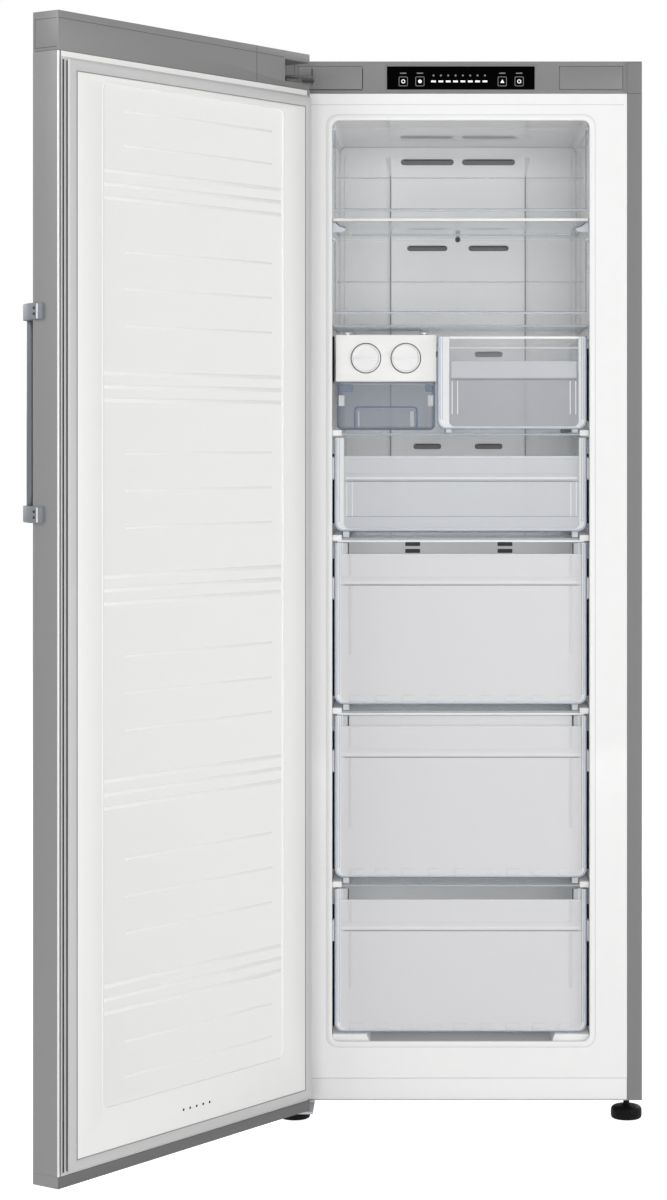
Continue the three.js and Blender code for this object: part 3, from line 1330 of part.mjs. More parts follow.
const drawers = () => {
  const group = new THREE.Group();
  const fullWidth = OPENING_WIDTH - 2 * DRAWER_SIDE_GAP;
  const large = [LARGE_BAY_1, LARGE_BAY_2, LARGE_BAY_3];
  large.forEach((bay, i) => {
    const size = {
      width: fullWidth,
      height: drawerHeight(bay),
      frontHeight: bay - LARGE_FRONT_DROP,
      depth: drawerDepth(HUMP_FACE),
      lift: i === large.length - 1 ? BOTTOM_DRAWER_LIFT : DRAWER_LIFT,
    };
    const tub = mesh(`large_drawer_${i + 1}`, drawer(size), FINISH.frostedPlastic);
    group.add(placed(tub, 0, DRAWER_SETBACK, BAY_FLOORS[BAYS.length - large.length + i] + FIT));
  });
  const shallow = {
    width: fullWidth,
    height: drawerHeight(SHALLOW_BAY),
    frontHeight: SHALLOW_BAY - SHALLOW_FRONT_DROP,
    depth: drawerDepth(DUCT_FACE),
  };
  const small = {
    width: SMALL_DRAWER_WIDTH,
    height: SMALL_DRAWER_HEIGHT,
    depth: drawerDepth(DUCT_FACE),
    lift: SMALL_DRAWER_LIFT,
  };
  const smallX = HALF_OPENING - DRAWER_SIDE_GAP - SMALL_DRAWER_WIDTH / 2;
  const shallowTub = mesh("shallow_drawer", drawer(shallow), FINISH.clearPlastic);
  const smallTub = mesh("small_drawer", drawer(small), FINISH.clearPlastic);
  group.add(
    placed(shallowTub, 0, DRAWER_SETBACK, DECK_LEVEL + FIT),
    placed(smallTub, smallX, DRAWER_SETBACK, ICE_FLOOR),
  );
  return group;
};

const iceMaker = () => {
  const group = new THREE.Group();
  group.add(
    mesh("ice_maker_rail", iceMakerRail(), FINISH.whitePlastic),
    mesh("ice_maker_housing", iceMakerHousing(), FINISH.whitePlastic),
    placed(mesh("ice_bin", iceBin(), FINISH.clearPlastic), ICE_MIDDLE, ICE_SETBACK, ICE_FLOOR),
  );
  for (const [side, name] of [
    [-1, "left"],
    [1, "right"],
  ]) {
    const x = ICE_MIDDLE + (side * KNOB_PITCH) / 2;
    group.add(
      placed(mesh(`ice_knob_${name}`, iceKnob(), FINISH.whitePlastic), x, 0, KNOB_Z),
      placed(mesh(`ice_tray_${name}`, iceTray(), FINISH.clearPlastic), x, 0, KNOB_Z),
    );
  }
  return group;
};

// The freezer stands on its floor with the middle of its footprint, door included, at the origin.
const freezer = new THREE.Group();
freezer.add(cabinet(), shelves(), coolingSystem(), supports(), door(), flaps(), drawers(), iceMaker());
freezer.updateMatrixWorld(true);
const extent = new THREE.Box3().setFromObject(freezer, true);
const middle = extent.getCenter(new THREE.Vector3());
freezer.position.set(-middle.x, -middle.y, -extent.min.z);

export default freezer;
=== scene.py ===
"""Dresses an upright freezer, its door standing open, over its CAD frame.

Places are given in millimetres in the cabinet's own frame: X to the right, Y into the
cabinet from its front plane and Z up from the floor. Door pieces are given as on the
closed door, about its pivot line.
"""

from __future__ import annotations

import json
import logging
import math
from dataclasses import dataclass, field
from enum import Enum
from functools import partial, reduce
from typing import Any, Callable, ClassVar, Iterable, Sequence, Union

import bmesh
import bpy
from mathutils import Matrix, Vector

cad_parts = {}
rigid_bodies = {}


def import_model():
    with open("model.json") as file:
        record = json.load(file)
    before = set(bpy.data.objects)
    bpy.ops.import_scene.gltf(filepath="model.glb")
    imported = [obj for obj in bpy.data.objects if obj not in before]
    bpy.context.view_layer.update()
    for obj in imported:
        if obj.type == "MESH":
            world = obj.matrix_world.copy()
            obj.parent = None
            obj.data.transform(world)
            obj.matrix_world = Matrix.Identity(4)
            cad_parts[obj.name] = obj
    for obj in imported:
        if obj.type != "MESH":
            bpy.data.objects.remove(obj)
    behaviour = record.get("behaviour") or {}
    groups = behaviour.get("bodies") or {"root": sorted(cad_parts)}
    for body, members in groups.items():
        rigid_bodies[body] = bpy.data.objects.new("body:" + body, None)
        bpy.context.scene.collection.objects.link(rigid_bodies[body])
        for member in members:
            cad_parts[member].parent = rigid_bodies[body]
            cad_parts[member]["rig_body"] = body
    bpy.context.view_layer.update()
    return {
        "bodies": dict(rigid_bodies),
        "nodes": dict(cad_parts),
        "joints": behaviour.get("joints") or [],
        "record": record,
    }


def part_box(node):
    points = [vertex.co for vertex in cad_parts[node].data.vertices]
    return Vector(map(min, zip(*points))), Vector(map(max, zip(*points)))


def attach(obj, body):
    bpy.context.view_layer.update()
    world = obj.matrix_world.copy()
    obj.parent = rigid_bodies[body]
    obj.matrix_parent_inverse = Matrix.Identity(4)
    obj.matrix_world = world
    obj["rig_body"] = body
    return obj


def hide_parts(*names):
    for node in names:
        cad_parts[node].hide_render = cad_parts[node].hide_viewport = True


LOG = logging.getLogger("freezer")
MILLIMETRE = 0.001
SIDES = (-1.0, 1.0)
HANDS = ((-1.0, "left"), (1.0, "right"))

Span = tuple[float, float]
Point = tuple[float, float]
Triple = tuple[float, float, float]


# ---- Sizes, in millimetres ----
@dataclass(frozen=True)
class CabinetSize:
    """The cabinet's main places. A bay is given by its level and its height."""

    half_width: float = 297.5
    half_opening: float = 212.0
    cavity_bottom: float = 127.0
    cavity_top: float = 1644.0
    rear: float = 559.5
    duct_face: float = 430.6
    hump_face: float = 294.0
    window: Span = (1694.0, 1731.7)
    bays: tuple[Span, ...] = ((672.0, 281.0), (386.0, 282.0), (127.0, 255.0), (957.0, 169.0))
    rail_share: float = 0.78


@dataclass(frozen=True)
class DoorSize:
    """The door's main places, as closed, about its pivot line."""

    opened: float = 125.4
    right: float = 581.0
    face: float = -13.0
    rim: float = 37.0
    top: float = 1743.0
    cap_bottom: float = 1685.0
    panel: tuple[Span, Span] = ((13.8, 553.2), (72.8, 1655.2))
    panel_face: float = 49.5
    field: tuple[Span, Span] = ((69.8, 497.2), (135.2, 1645.5))
    field_face: float = 47.0


CABINET = CabinetSize()
DOOR = DoorSize()


# ---- Colours and spans ----
def srgb(*channels: float) -> Triple:
    """A display colour, given from 0 to 255, as the linear numbers that a shader takes."""
    shares = [channel / 255.0 for channel in channels]
    return tuple(s / 12.92 if s <= 0.04045 else ((s + 0.055) / 1.055) ** 2.4 for s in shares)


def grey(value: float) -> Triple:
    """A neutral display grey as linear numbers."""
    return srgb(value, value, value)


def band(middle: float, width: float) -> Span:
    """The span of a width about a middle."""
    return middle - width / 2.0, middle + width / 2.0


def grown(span: Span, by: float) -> Span:
    """A span made longer at both ends."""
    return span[0] - by, span[1] + by


# ---- Shader graph ----
@dataclass(frozen=True)
class Term:
    """A socket in a graph, with arithmetic that adds Math nodes."""

    graph: Graph
    socket: bpy.types.NodeSocket

    def __add__(self, other: Number) -> Term:
        """This plus the other."""
        return self.graph.math("ADD", self, other)

    def __radd__(self, other: Number) -> Term:
        """The other plus this."""
        return self.graph.math("ADD", other, self)

    def __sub__(self, other: Number) -> Term:
        """This less the other."""
        return self.graph.math("SUBTRACT", self, other)

    def __rsub__(self, other: Number) -> Term:
        """The other less this."""
        return self.graph.math("SUBTRACT", other, self)

    def __mul__(self, other: Number) -> Term:
        """This times the other."""
        return self.graph.math("MULTIPLY", self, other)

    def __rmul__(self, other: Number) -> Term:
        """The other times this."""
        return self.graph.math("MULTIPLY", other, self)


Number = Union[Term, float]


class Graph:
    """The node graph of a material or of the world."""

    def __init__(self, owner: bpy.types.Material | bpy.types.World) -> None:
        """Starts an empty graph.

        Args:
            owner: The material or the world that it belongs to.
        """
        owner.use_nodes = True
        self.owner = owner
        self.tree = owner.node_tree
        self.tree.nodes.clear()

    def add(
        self, kind: str, settings: dict[str, Any] | None = None, inputs: dict[str | int, Any] | None = None
    ) -> bpy.types.Node:
        """Adds a node.

        Args:
            kind: The node's type name after ShaderNode.
            settings: Its properties, which are set first.
            inputs: Its sockets' values, each a number, a colour, or a Term or node to link.

        Returns:
            The node.
        """
        node = self.tree.nodes.new(f"ShaderNode{kind}")
        for key, value in (settings or {}).items():
            setattr(node, key, value)
        for key, value in (inputs or {}).items():
            self._feed(node.inputs[key], value)
        return node

    def _feed(self, socket: bpy.types.NodeSocket, value: Any) -> None:
        """Links a Term or a node to a socket, or sets the socket's own value.

        Args:
            socket: The socket.
            value: A Term, a node, a number or a colour.
        """
        if isinstance(value, Term):
            self.tree.links.new(value.socket, socket)
        elif isinstance(value, bpy.types.Node):
            self.tree.links.new(value.outputs[0], socket)
        else:
            socket.default_value = (*value, 1.0) if socket.type == "RGBA" else value

    def term(self, output: str | int, kind: str, *given: dict[Any, Any] | None) -> Term:
        """One output of a new node, given the node's settings and inputs."""
        return Term(self, self.add(kind, *given).outputs[output])

    def math(self, operation: str, first: Number, second: Number) -> Term:
        """One Math node."""
        return self.term("Value", "Math", {"operation": operation}, {0: first, 1: second})

    def noise(self, scale: Sequence[float], detail: float = 2.0, roughness: float = 0.5) -> Term:
        """Noise over the object's own coordinates.

        Args:
            scale: Cycles a metre along each axis.
            detail: How many octaves.
            roughness: How strong the finer ones are.

        Returns:
            The noise, from 0 to 1.
        """
        factors = {0: self.term("Object", "TexCoord"), 1: tuple(scale)}
        place = self.term("Vector", "VectorMath", {"operation": "MULTIPLY"}, factors)
        inputs = {"Vector": place, "Scale": 1.0, "Detail": detail, "Roughness": roughness}
        return self.term("Fac", "TexNoise", {"noise_dimensions": "3D"}, inputs)

    def rays(self, *kinds: str) -> Term:
        """One for rays of the named kinds of the Light Path node, and nought for others."""
        path = self.add("LightPath")
        return reduce(partial(self.math, "MAXIMUM"), [Term(self, path.outputs[kind]) for kind in kinds])

    def eye(self) -> Term:
        """One for what the camera sees, straight, in a mirror or through glass."""
        return self.rays("Is Camera Ray", "Is Glossy Ray", "Is Transmission Ray")

    def mix(self, factor: Number, first: Any, second: Any) -> Term:
        """Blends two colours, with the factor as the share of the second."""
        return self.term(2, "Mix", {"data_type": "RGBA"}, {0: factor, 6: first, 7: second})

    def finish(self, shader: bpy.types.Node) -> bpy.types.Material | bpy.types.World:
        """Links the shader to the output.

        Args:
            shader: The shader that goes to the surface.

        Returns:
            The material or the world.
        """
        kind = "World" if isinstance(self.owner, bpy.types.World) else "Material"
        self.add(f"Output{kind}", None, {"Surface": shader})
        return self.owner


# ---- Finishes ----
class Grain(Enum):
    """The fine texture of a finish: cycles a metre along X, Y and Z, and depth in metres."""

    SMOOTH = ((60.0, 60.0, 60.0), 0.0)
    MOULDED = ((900.0, 900.0, 900.0), 0.000012)
    PEBBLED = ((420.0, 420.0, 420.0), 0.00006)
    PAINTED = ((700.0, 700.0, 700.0), 0.00001)
    BRUSHED = ((2600.0, 2600.0, 9.0), 0.000012)
    ROLLED = ((40.0, 40.0, 900.0), 0.000008)
    CAST = ((160.0, 160.0, 160.0), 0.00015)
    FOAMED = ((300.0, 300.0, 300.0), 0.0005)


@dataclass(frozen=True)
class Finish:
    """How a material looks.

    Fine and broad are how far its two noises spread its tone, and alpha is given face on and
    at grazing edges.
    """

    slot: str
    colour: Triple
    roughness: float
    grain: Grain
    metallic: float = 0.0
    fine: float = 0.05
    broad: float = 0.05
    coat: float = 0.0
    alpha: Point = (1.0, 1.0)
    edge: Triple | None = None
    edge_blend: float = 0.3
    glow: float = 0.0
    ior: float = 1.45
    specular: float = 0.5
    fine_noise: ClassVar[Point] = (3.0, 0.6)
    broad_cycles: ClassVar[Triple] = (3.0, 3.0, 3.0)
    tone_range: ClassVar[float] = 0.2
    palest: ClassVar[float] = 0.98
    rough_spread: ClassVar[Point] = (0.12, 0.08)
    even_roughness: ClassVar[float] = 0.3
    light_passed: ClassVar[float] = 0.75
    coat_roughness: ClassVar[float] = 0.12

    def build(self, name: str) -> bpy.types.Material:
        """Makes the material.

        Args:
            name: The material's name.

        Returns:
            The finished material.
        """
        graph = Graph(bpy.data.materials.new(name))
        cycles, depth = self.grain.value
        fine, broad = graph.noise(cycles, *self.fine_noise), graph.noise(self.broad_cycles)
        shade = 1.0 + (fine - 0.5) * self.fine + (broad - 0.5) * self.broad
        darkest = 1.0 - self.tone_range
        dark = tuple(darkest * part for part in self.colour)
        light = tuple(min((1.0 + self.tone_range) * part, self.palest) for part in self.colour)
        colour = graph.mix((shade - darkest) * (0.5 / self.tone_range), dark, light)
        wear = (fine - 0.5) * self.rough_spread[0] + (broad - 0.5) * self.rough_spread[1]
        inputs: dict[str | int, Any] = {
            "Roughness": wear * min(self.roughness / self.even_roughness, 1.0) + self.roughness,
            "Metallic": self.metallic,
            "IOR": self.ior,
            "Specular IOR Level": self.specular,
            "Coat Weight": self.coat,
            "Coat Roughness": self.coat_roughness,
        }
        if depth > 0.0:
            bump = {"Strength": 1.0, "Distance": depth, "Height": fine}
            inputs["Normal"] = graph.term("Normal", "Bump", None, bump)
        if self.alpha[0] < 1.0:
            grazing = graph.term("Facing", "LayerWeight", None, {"Blend": self.edge_blend})
            seen = grazing * (self.alpha[1] - self.alpha[0]) + self.alpha[0]
            passing = graph.rays("Is Shadow Ray", "Is Diffuse Ray")
            inputs["Alpha"] = seen * (1.0 - self.light_passed * passing)
            if self.edge:
                colour = graph.mix(grazing, colour, self.edge)
        if self.glow:
            inputs |= {"Emission Color": colour, "Emission Strength": self.glow}
        inputs["Base Color"] = colour
        return graph.finish(graph.add("BsdfPrincipled", None, inputs))


class Paint(Enum):
    """Every finish on the freezer, and the colours that paint light or shade onto it."""

    STEEL = Finish("brushed_steel", grey(142), 0.4, Grain.BRUSHED, 0.3, 0.14, 0.04)
    # Pale steel on the door skin's bend and the brackets' ends: painted highlight.
    BEND = Finish("brushed_steel", grey(232), 0.3, Grain.BRUSHED, 0.2, 0.06, 0.03)
    SILVER = Finish("silver_paint", grey(120), 0.45, Grain.PAINTED, 0.25, 0.08)
    ZINC = Finish("zinc_steel", srgb(170, 173, 176), 0.42, Grain.ROLLED, 0.8, 0.14, 0.12)
    GREY = Finish("grey_plastic", grey(126), 0.48, Grain.MOULDED, 0.2, 0.08)
    CAP = Finish("grey_plastic", grey(130), 0.48, Grain.MOULDED, 0.2, 0.08)
    # A darker copy of the cap's grey: painted shade for the bottom cap, which gets less light.
    CAP_LOW = Finish("grey_plastic", grey(100), 0.5, Grain.MOULDED, 0.1, 0.08)
    HINGE = Finish("zinc_steel", grey(96), 0.4, Grain.ROLLED, 0.4, 0.1, 0.1)
    WHITE = Finish("white_plastic", grey(238), 0.42, Grain.MOULDED, 0.0, 0.03, 0.02)
    LINER = Finish("white_plastic", srgb(238, 238, 237), 0.04, Grain.SMOOTH, 0.0, 0.03, 0.02)
    # A paler copy of the white plastic, painted light: it brightens the door liner with its ribs and bead,
    # and the ice maker, which get less light, and gives the slot lips a painted highlight.
    DOOR_WHITE = Finish("white_plastic", srgb(248, 247, 243), 0.4, Grain.MOULDED, 0.0, 0.02, 0.02)
    COOL = Finish("cool_white_plastic", srgb(241, 242, 245), 0.36, Grain.MOULDED, 0.0, 0.03, 0.03)
    # Grey painted into grooves, gaps and undercuts: painted shade.
    SEAM = Finish("black_plastic", grey(148), 0.6, Grain.MOULDED)
    # Dark grey painted into narrow gaps, folds and creases: painted shade.
    GAP = Finish("black_plastic", grey(56), 0.6, Grain.MOULDED)
    # Dark grey for the sloping plates behind the duct's slots: painted shade inside the slots.
    BAFFLE = Finish("cool_white_plastic", grey(140), 0.5, Grain.MOULDED)
    BEZEL = Finish("grey_plastic", grey(122), 0.4, Grain.MOULDED, 0.25)
    # Grey for thin lines on the frame where its bead and step would shade it: painted shade.
    LINE = Finish("white_plastic", grey(206), 0.5, Grain.MOULDED, 0.0, 0.03, 0.02)
    LENS = Finish("dark_lens", grey(3), 0.3, Grain.SMOOTH, 0.0, 0.1, 0.1, specular=0.01)
    LED = Finish("dark_lens", grey(235), 0.4, Grain.SMOOTH, 0.0, 0.04, 0.04, glow=0.6)
    KEY = Finish("dark_lens", grey(120), 0.4, Grain.SMOOTH, 0.0, 0.04, 0.04, glow=0.3)
    BOARD = Finish("circuit_board", srgb(44, 96, 56), 0.55, Grain.PEBBLED, 0.0, 0.2, 0.1)
    BLACK = Finish("black_plastic", grey(10), 0.5, Grain.PEBBLED, 0.0, 0.2, 0.1, specular=0.12)
    SHADOW = Finish("black_plastic", grey(84), 0.7, Grain.PEBBLED, 0.0, 0.1, 0.1)
    ENAMEL = Finish("black_enamel", grey(26), 0.3, Grain.CAST, 0.0, 0.2, 0.2, coat=0.4)
    RUBBER = Finish("grey_rubber", grey(200), 0.62, Grain.MOULDED)
    FOAM = Finish("foam", srgb(226, 214, 170), 0.9, Grain.FOAMED, 0.0, 0.15, 0.1)
    ALUMINIUM = Finish("aluminium", srgb(200, 203, 207), 0.35, Grain.ROLLED, 0.9, 0.1, 0.1)
    HANDLE = Finish("handle_metal", srgb(114, 117, 122), 0.32, Grain.BRUSHED, 0.6, 0.1)
    ARM = Finish("handle_metal", srgb(134, 138, 144), 0.62, Grain.BRUSHED, 0.1, 0.08)
    GLASS = Finish(
        "shelf_glass", srgb(216, 222, 226), 0.03, Grain.SMOOTH, 0.0, 0.03, 0.03, alpha=(0.08, 0.6), ior=1.5
    )
    GLASS_EDGE = Finish(
        "shelf_glass", srgb(168, 178, 190), 0.12, Grain.SMOOTH, 0.0, 0.1, 0.1, alpha=(0.75, 1.0)
    )
    CLEAR = Finish(
        "clear_plastic", srgb(214, 218, 224), 0.1, Grain.SMOOTH, 0.0, 0.02, 0.02,
        alpha=(0.05, 0.5), edge=srgb(196, 206, 220),
    )
    CLEAR_EDGE = Finish(
        "clear_plastic", srgb(216, 222, 230), 0.12, Grain.SMOOTH, 0.0, 0.06, 0.05,
        alpha=(0.5, 0.95), edge=srgb(160, 174, 196), edge_blend=0.4,
    )
    CLEAR_THIN = Finish(
        "clear_plastic", srgb(224, 228, 233), 0.06, Grain.SMOOTH, 0.0, 0.02, 0.02,
        alpha=(0.02, 0.3), edge=srgb(180, 192, 206),
    )
    FLAP_LINE = Finish("clear_plastic", srgb(146, 156, 170), 0.2, Grain.SMOOTH, alpha=(0.5, 0.8))
    POST = Finish(
        "clear_plastic", srgb(236, 238, 241), 0.22, Grain.SMOOTH, 0.0, 0.03, 0.03,
        alpha=(0.72, 0.95), edge=srgb(190, 200, 214),
    )
    MIST = Finish(
        "clear_plastic", srgb(170, 172, 177), 0.3, Grain.MOULDED, 0.0, 0.02, 0.03,
        alpha=(0.5, 0.9), edge=srgb(176, 186, 200), edge_blend=0.35,
    )
    MIST_PALE = Finish(
        "clear_plastic", srgb(208, 210, 214), 0.3, Grain.MOULDED, 0.0, 0.02, 0.03,
        alpha=(0.55, 0.9), edge=srgb(186, 194, 206), edge_blend=0.35,
    )
    HAZE = Finish(
        "clear_plastic", srgb(158, 172, 192), 0.14, Grain.SMOOTH, 0.0, 0.08, 0.12, alpha=(0.5, 0.85)
    )
    BLUE_EDGE = Finish("clear_plastic", srgb(96, 112, 136), 0.14, Grain.SMOOTH, alpha=(0.7, 0.9))
    SMOKY = Finish(
        "clear_plastic", srgb(150, 158, 170), 0.1, Grain.SMOOTH, 0.0, 0.03, 0.03,
        alpha=(0.2, 0.85), edge=srgb(84, 100, 124),
    )
    FROST = Finish(
        "frosted_plastic", srgb(214, 214, 216), 0.34, Grain.MOULDED, 0.0, 0.02, 0.03,
        alpha=(0.86, 0.98), ior=1.4,
    )
    MILK = Finish(
        "frosted_plastic", srgb(240, 241, 243), 0.3, Grain.MOULDED, 0.0, 0.02, 0.03,
        alpha=(0.6, 0.8), edge=srgb(220, 225, 232),
    )
    STRIP = Finish("frosted_plastic", grey(206), 0.34, Grain.MOULDED, 0.0, 0.02, 0.03, alpha=(0.86, 0.98))


# ---- Solids ----
def rounded(
    across: Span, upright: Span, radius: float, steps: int = 6, top: float | None = None
) -> list[Point]:
    """A rectangle's outline with its corners rounded.

    Args:
        across: First and last place on the first axis.
        upright: First and last place on the second axis.
        radius: Radius of its corners.
        steps: Straight pieces in each corner.
        top: Radius of the upper two corners, if another.

    Returns:
        The outline's points, from the lower left corner on, turning left.
    """
    top = radius if top is None else top
    corners = ((0, 0, 1.0, radius), (1, 0, 1.5, radius), (1, 1, 0.0, top), (0, 1, 0.5, top))
    points: list[Point] = []
    for right, high, start, size in corners:
        if size <= 0.0:
            points.append((across[right], upright[high]))
            continue
        middle_x = across[right] - math.copysign(size, right - 0.5)
        middle_y = upright[high] - math.copysign(size, high - 0.5)
        for step in range(steps + 1):
            angle = (start + step * 0.5 / steps) * math.pi
            points.append((middle_x + size * math.cos(angle), middle_y + size * math.sin(angle)))
    return points


class Axis(Enum):
    """An axis: its place in a point, and the turn in half turns that takes +Z to it."""

    X = (0, "Y", 0.5)
    Y = (1, "X", -0.5)
    Z = (2, "Z", 0.0)

    def point(self, pair: Point, along: float) -> Vector:
        """The point at a pair of places across the axis and one place along it.

        Args:
            pair: The two places across the axis.
            along: The place along it.

        Returns:
            The point.
        """
        place = list(pair)
        place.insert(self.value[0], along)
        return Vector(place)

    @property
    def turn(self) -> Matrix:
        """Turns +Z to this axis."""
        return Matrix.Rotation(self.value[2] * math.pi, 4, self.value[1])


def round_edges(
    bm: bmesh.types.BMesh, edges: Iterable[bmesh.types.BMEdge], width: float, segments: int
) -> None:
    """Rounds some edges of a mesh.

    Args:
        bm: The mesh.
        edges: The edges.
        width: How wide the rounding is, nought for none.
        segments: Facets across it.
    """
    if width > 0.0:
        bmesh.ops.bevel(
            bm, geom=list(edges), offset=width, offset_type="OFFSET", affect="EDGES",
            segments=segments, profile=0.5, material=-1, clamp_overlap=True,
        )


class Form:
    """Closed solids in millimetres, made with mesh operators. Each method returns the form."""

    wall: ClassVar[float] = 2.5
    touching: ClassVar[float] = 1e-4
    turn_steps: ClassVar[int] = 64
    faces_end_on: ClassVar[float] = 0.99
    same_wall: ClassVar[float] = 1.0

    def __init__(self) -> None:
        """Starts an empty form."""
        self.bm = bmesh.new()

    def _cube(self, *spans: Span) -> list[bmesh.types.BMVert]:
        """A plain block's corners.

        Args:
            spans: Its spans along X, Y and Z.

        Returns:
            The corners.
        """
        low, high = (Vector([end(span) for span in spans]) for end in (min, max))
        matrix = Matrix.LocRotScale((low + high) / 2.0, None, high - low)
        return bmesh.ops.create_cube(self.bm, size=1.0, matrix=matrix)["verts"]

    def block(self, x: Span, y: Span, z: Span, bevel: float = 0.0, segments: int = 3) -> Form:
        """A block with rounded edges.

        Args:
            x: Span across.
            y: Span in depth.
            z: Span in height.
            bevel: Rounding of its edges.
            segments: Facets across the rounding.

        Returns:
            This form.
        """
        verts = self._cube(x, y, z)
        round_edges(self.bm, {edge for vert in verts for edge in vert.link_edges}, bevel, segments)
        return self

    def blocks(self, near: float, far: float, y: Span, z: Span, bevel: float = 0.0) -> Form:
        """The same block on both sides of the middle.

        Args:
            near: Its distance from the middle.
            far: Its far side's distance.
            y: Span in depth.
            z: Span in height.
            bevel: Rounding of its edges.

        Returns:
            This form.
        """
        for side in SIDES:
            self.block((side * near, side * far), y, z, bevel)
        return self

    def rod(
        self, axis: Axis, centre: Point, span: Span, radius: float, bevel: float = 0.0, sides: int = 24
    ) -> Form:
        """A round bar along an axis.

        Args:
            axis: The axis it runs along.
            centre: Where it stands across the axis.
            span: Where it starts and ends.
            radius: Its radius.
            bevel: Rounding of its rims.
            sides: Facets round it.

        Returns:
            This form.
        """
        matrix = Matrix.Translation(axis.point(centre, (span[0] + span[1]) / 2.0)) @ axis.turn
        verts = bmesh.ops.create_cone(
            self.bm, cap_ends=True, cap_tris=False, segments=sides, radius1=radius, radius2=radius,
            depth=span[1] - span[0], matrix=matrix,
        )["verts"]
        edges = {edge for vert in verts for edge in vert.link_edges}
        rims = [e for e in edges if any(len(face.verts) > 4 for face in e.link_faces)]  # the caps' own
        round_edges(self.bm, rims, bevel, 3)
        return self

    def _raise(self, faces: list[bmesh.types.BMFace], axis: Axis, span: Span, bevel: float) -> Form:
        """Carries flat faces along an axis into a solid.

        Args:
            faces: The faces at the near end.
            axis: The axis.
            span: Where the solid starts and ends.
            bevel: Rounding of the rims of its two ends.

        Returns:
            This form.
        """
        rims = [edge for face in faces for edge in face.edges if len(edge.link_faces) == 1]
        raised = bmesh.ops.extrude_face_region(self.bm, geom=faces)["geom"]
        moved = [item for item in raised if isinstance(item, bmesh.types.BMVert)]
        bmesh.ops.translate(self.bm, verts=moved, vec=axis.point((0.0, 0.0), span[1] - span[0]))
        far = {item for item in raised if isinstance(item, bmesh.types.BMFace)}
        rims += [e for face in far for e in face.edges if sum(f in far for f in e.link_faces) == 1]
        round_edges(self.bm, set(rims), bevel, 2)
        return self

    def _loop(self, axis: Axis, outline: Sequence[Point], place: float) -> list[bmesh.types.BMVert]:
        """An outline's vertices at one place along an axis."""
        return [self.bm.verts.new(axis.point(pair, place)) for pair in outline]

    def plate(self, axis: Axis, outline: Sequence[Point], span: Span, bevel: float = 0.0) -> Form:
        """An outline carried over a span of an axis, with its two faces' edges rounded."""
        return self._raise([self.bm.faces.new(self._loop(axis, outline, span[0]))], axis, span, bevel)

    def plates(self, axis: Axis, outline: Sequence[Point], span: Span, bevel: float = 0.0) -> Form:
        """The same plate on both sides of the middle.

        Args:
            axis: The axis it is raised along.
            outline: Its outline on the right.
            span: Where it starts and ends.
            bevel: Rounding of its edges.

        Returns:
            This form.
        """
        for side in SIDES:
            self.plate(axis, [(side * across, other) for across, other in outline], span, bevel)
        return self

    def ring(self, outer: Sequence[Point], inner: Sequence[Point], y: Span, bevel: float = 0.0) -> Form:
        """A flat upright frame between two outlines of the same count.

        Args:
            outer: The outer outline.
            inner: The inner outline.
            y: Span in depth.
            bevel: Rounding of its edges.

        Returns:
            This form.
        """
        loops = [self._loop(Axis.Y, outline, y[0]) for outline in (outer, inner)]
        quads = zip(loops[0], loops[0][1:] + loops[0][:1], loops[1][1:] + loops[1][:1], loops[1])
        return self._raise([self.bm.faces.new(quad) for quad in quads], Axis.Y, y, bevel)

    def frame(
        self, x: Span, z: Span, out: Point, radii: Point, y: Span, bevel: float = 0.0, steps: int = 6
    ) -> Form:
        """A flat frame between two outlines, each some way out from a rectangle, with its own radius."""
        outlines = [rounded(grown(x, by), grown(z, by), radius, steps) for by, radius in zip(out, radii)]
        return self.ring(*outlines, y, bevel)

    def sweep(self, profile: Sequence[Point], x: Span, z: Span) -> Form:
        """A closed profile carried round a rectangle with mitred corners.

        Args:
            profile: Points given as distance out from the rectangle and place along Y.
            x: The rectangle across.
            z: The rectangle upright.

        Returns:
            This form.
        """
        rings = []
        for right, high in ((0, 0), (1, 0), (1, 1), (0, 1)):
            way_x, way_z = 2 * right - 1, 2 * high - 1
            places = [(x[right] + way_x * out, y, z[high] + way_z * out) for out, y in profile]
            verts = [self.bm.verts.new(place) for place in places]
            rings.append([self.bm.edges.new((verts[i - 1], verts[i])) for i in range(len(verts))])
        for i, ring in enumerate(rings):
            bmesh.ops.bridge_loops(self.bm, edges=rings[i - 1] + ring)
        return self

    def turned(self, axis: Axis, centre: Point, profile: Sequence[Point]) -> Form:
        """A profile of radius and place along an axis, spun about it.

        Args:
            axis: The axis.
            centre: Where it stands.
            profile: Points from the axis round to the axis again.

        Returns:
            This form.
        """
        verts = [self.bm.verts.new(axis.point((centre[0] + r, centre[1]), along)) for r, along in profile]
        edges = [self.bm.edges.new(pair) for pair in zip(verts, verts[1:])]
        bmesh.ops.spin(
            self.bm, geom=verts + edges, cent=axis.point(centre, 0.0), axis=axis.point((0.0, 0.0), 1.0),
            angle=2.0 * math.pi, steps=self.turn_steps, use_merge=True,
        )
        bmesh.ops.remove_doubles(self.bm, verts=self.bm.verts, dist=self.touching)
        return self

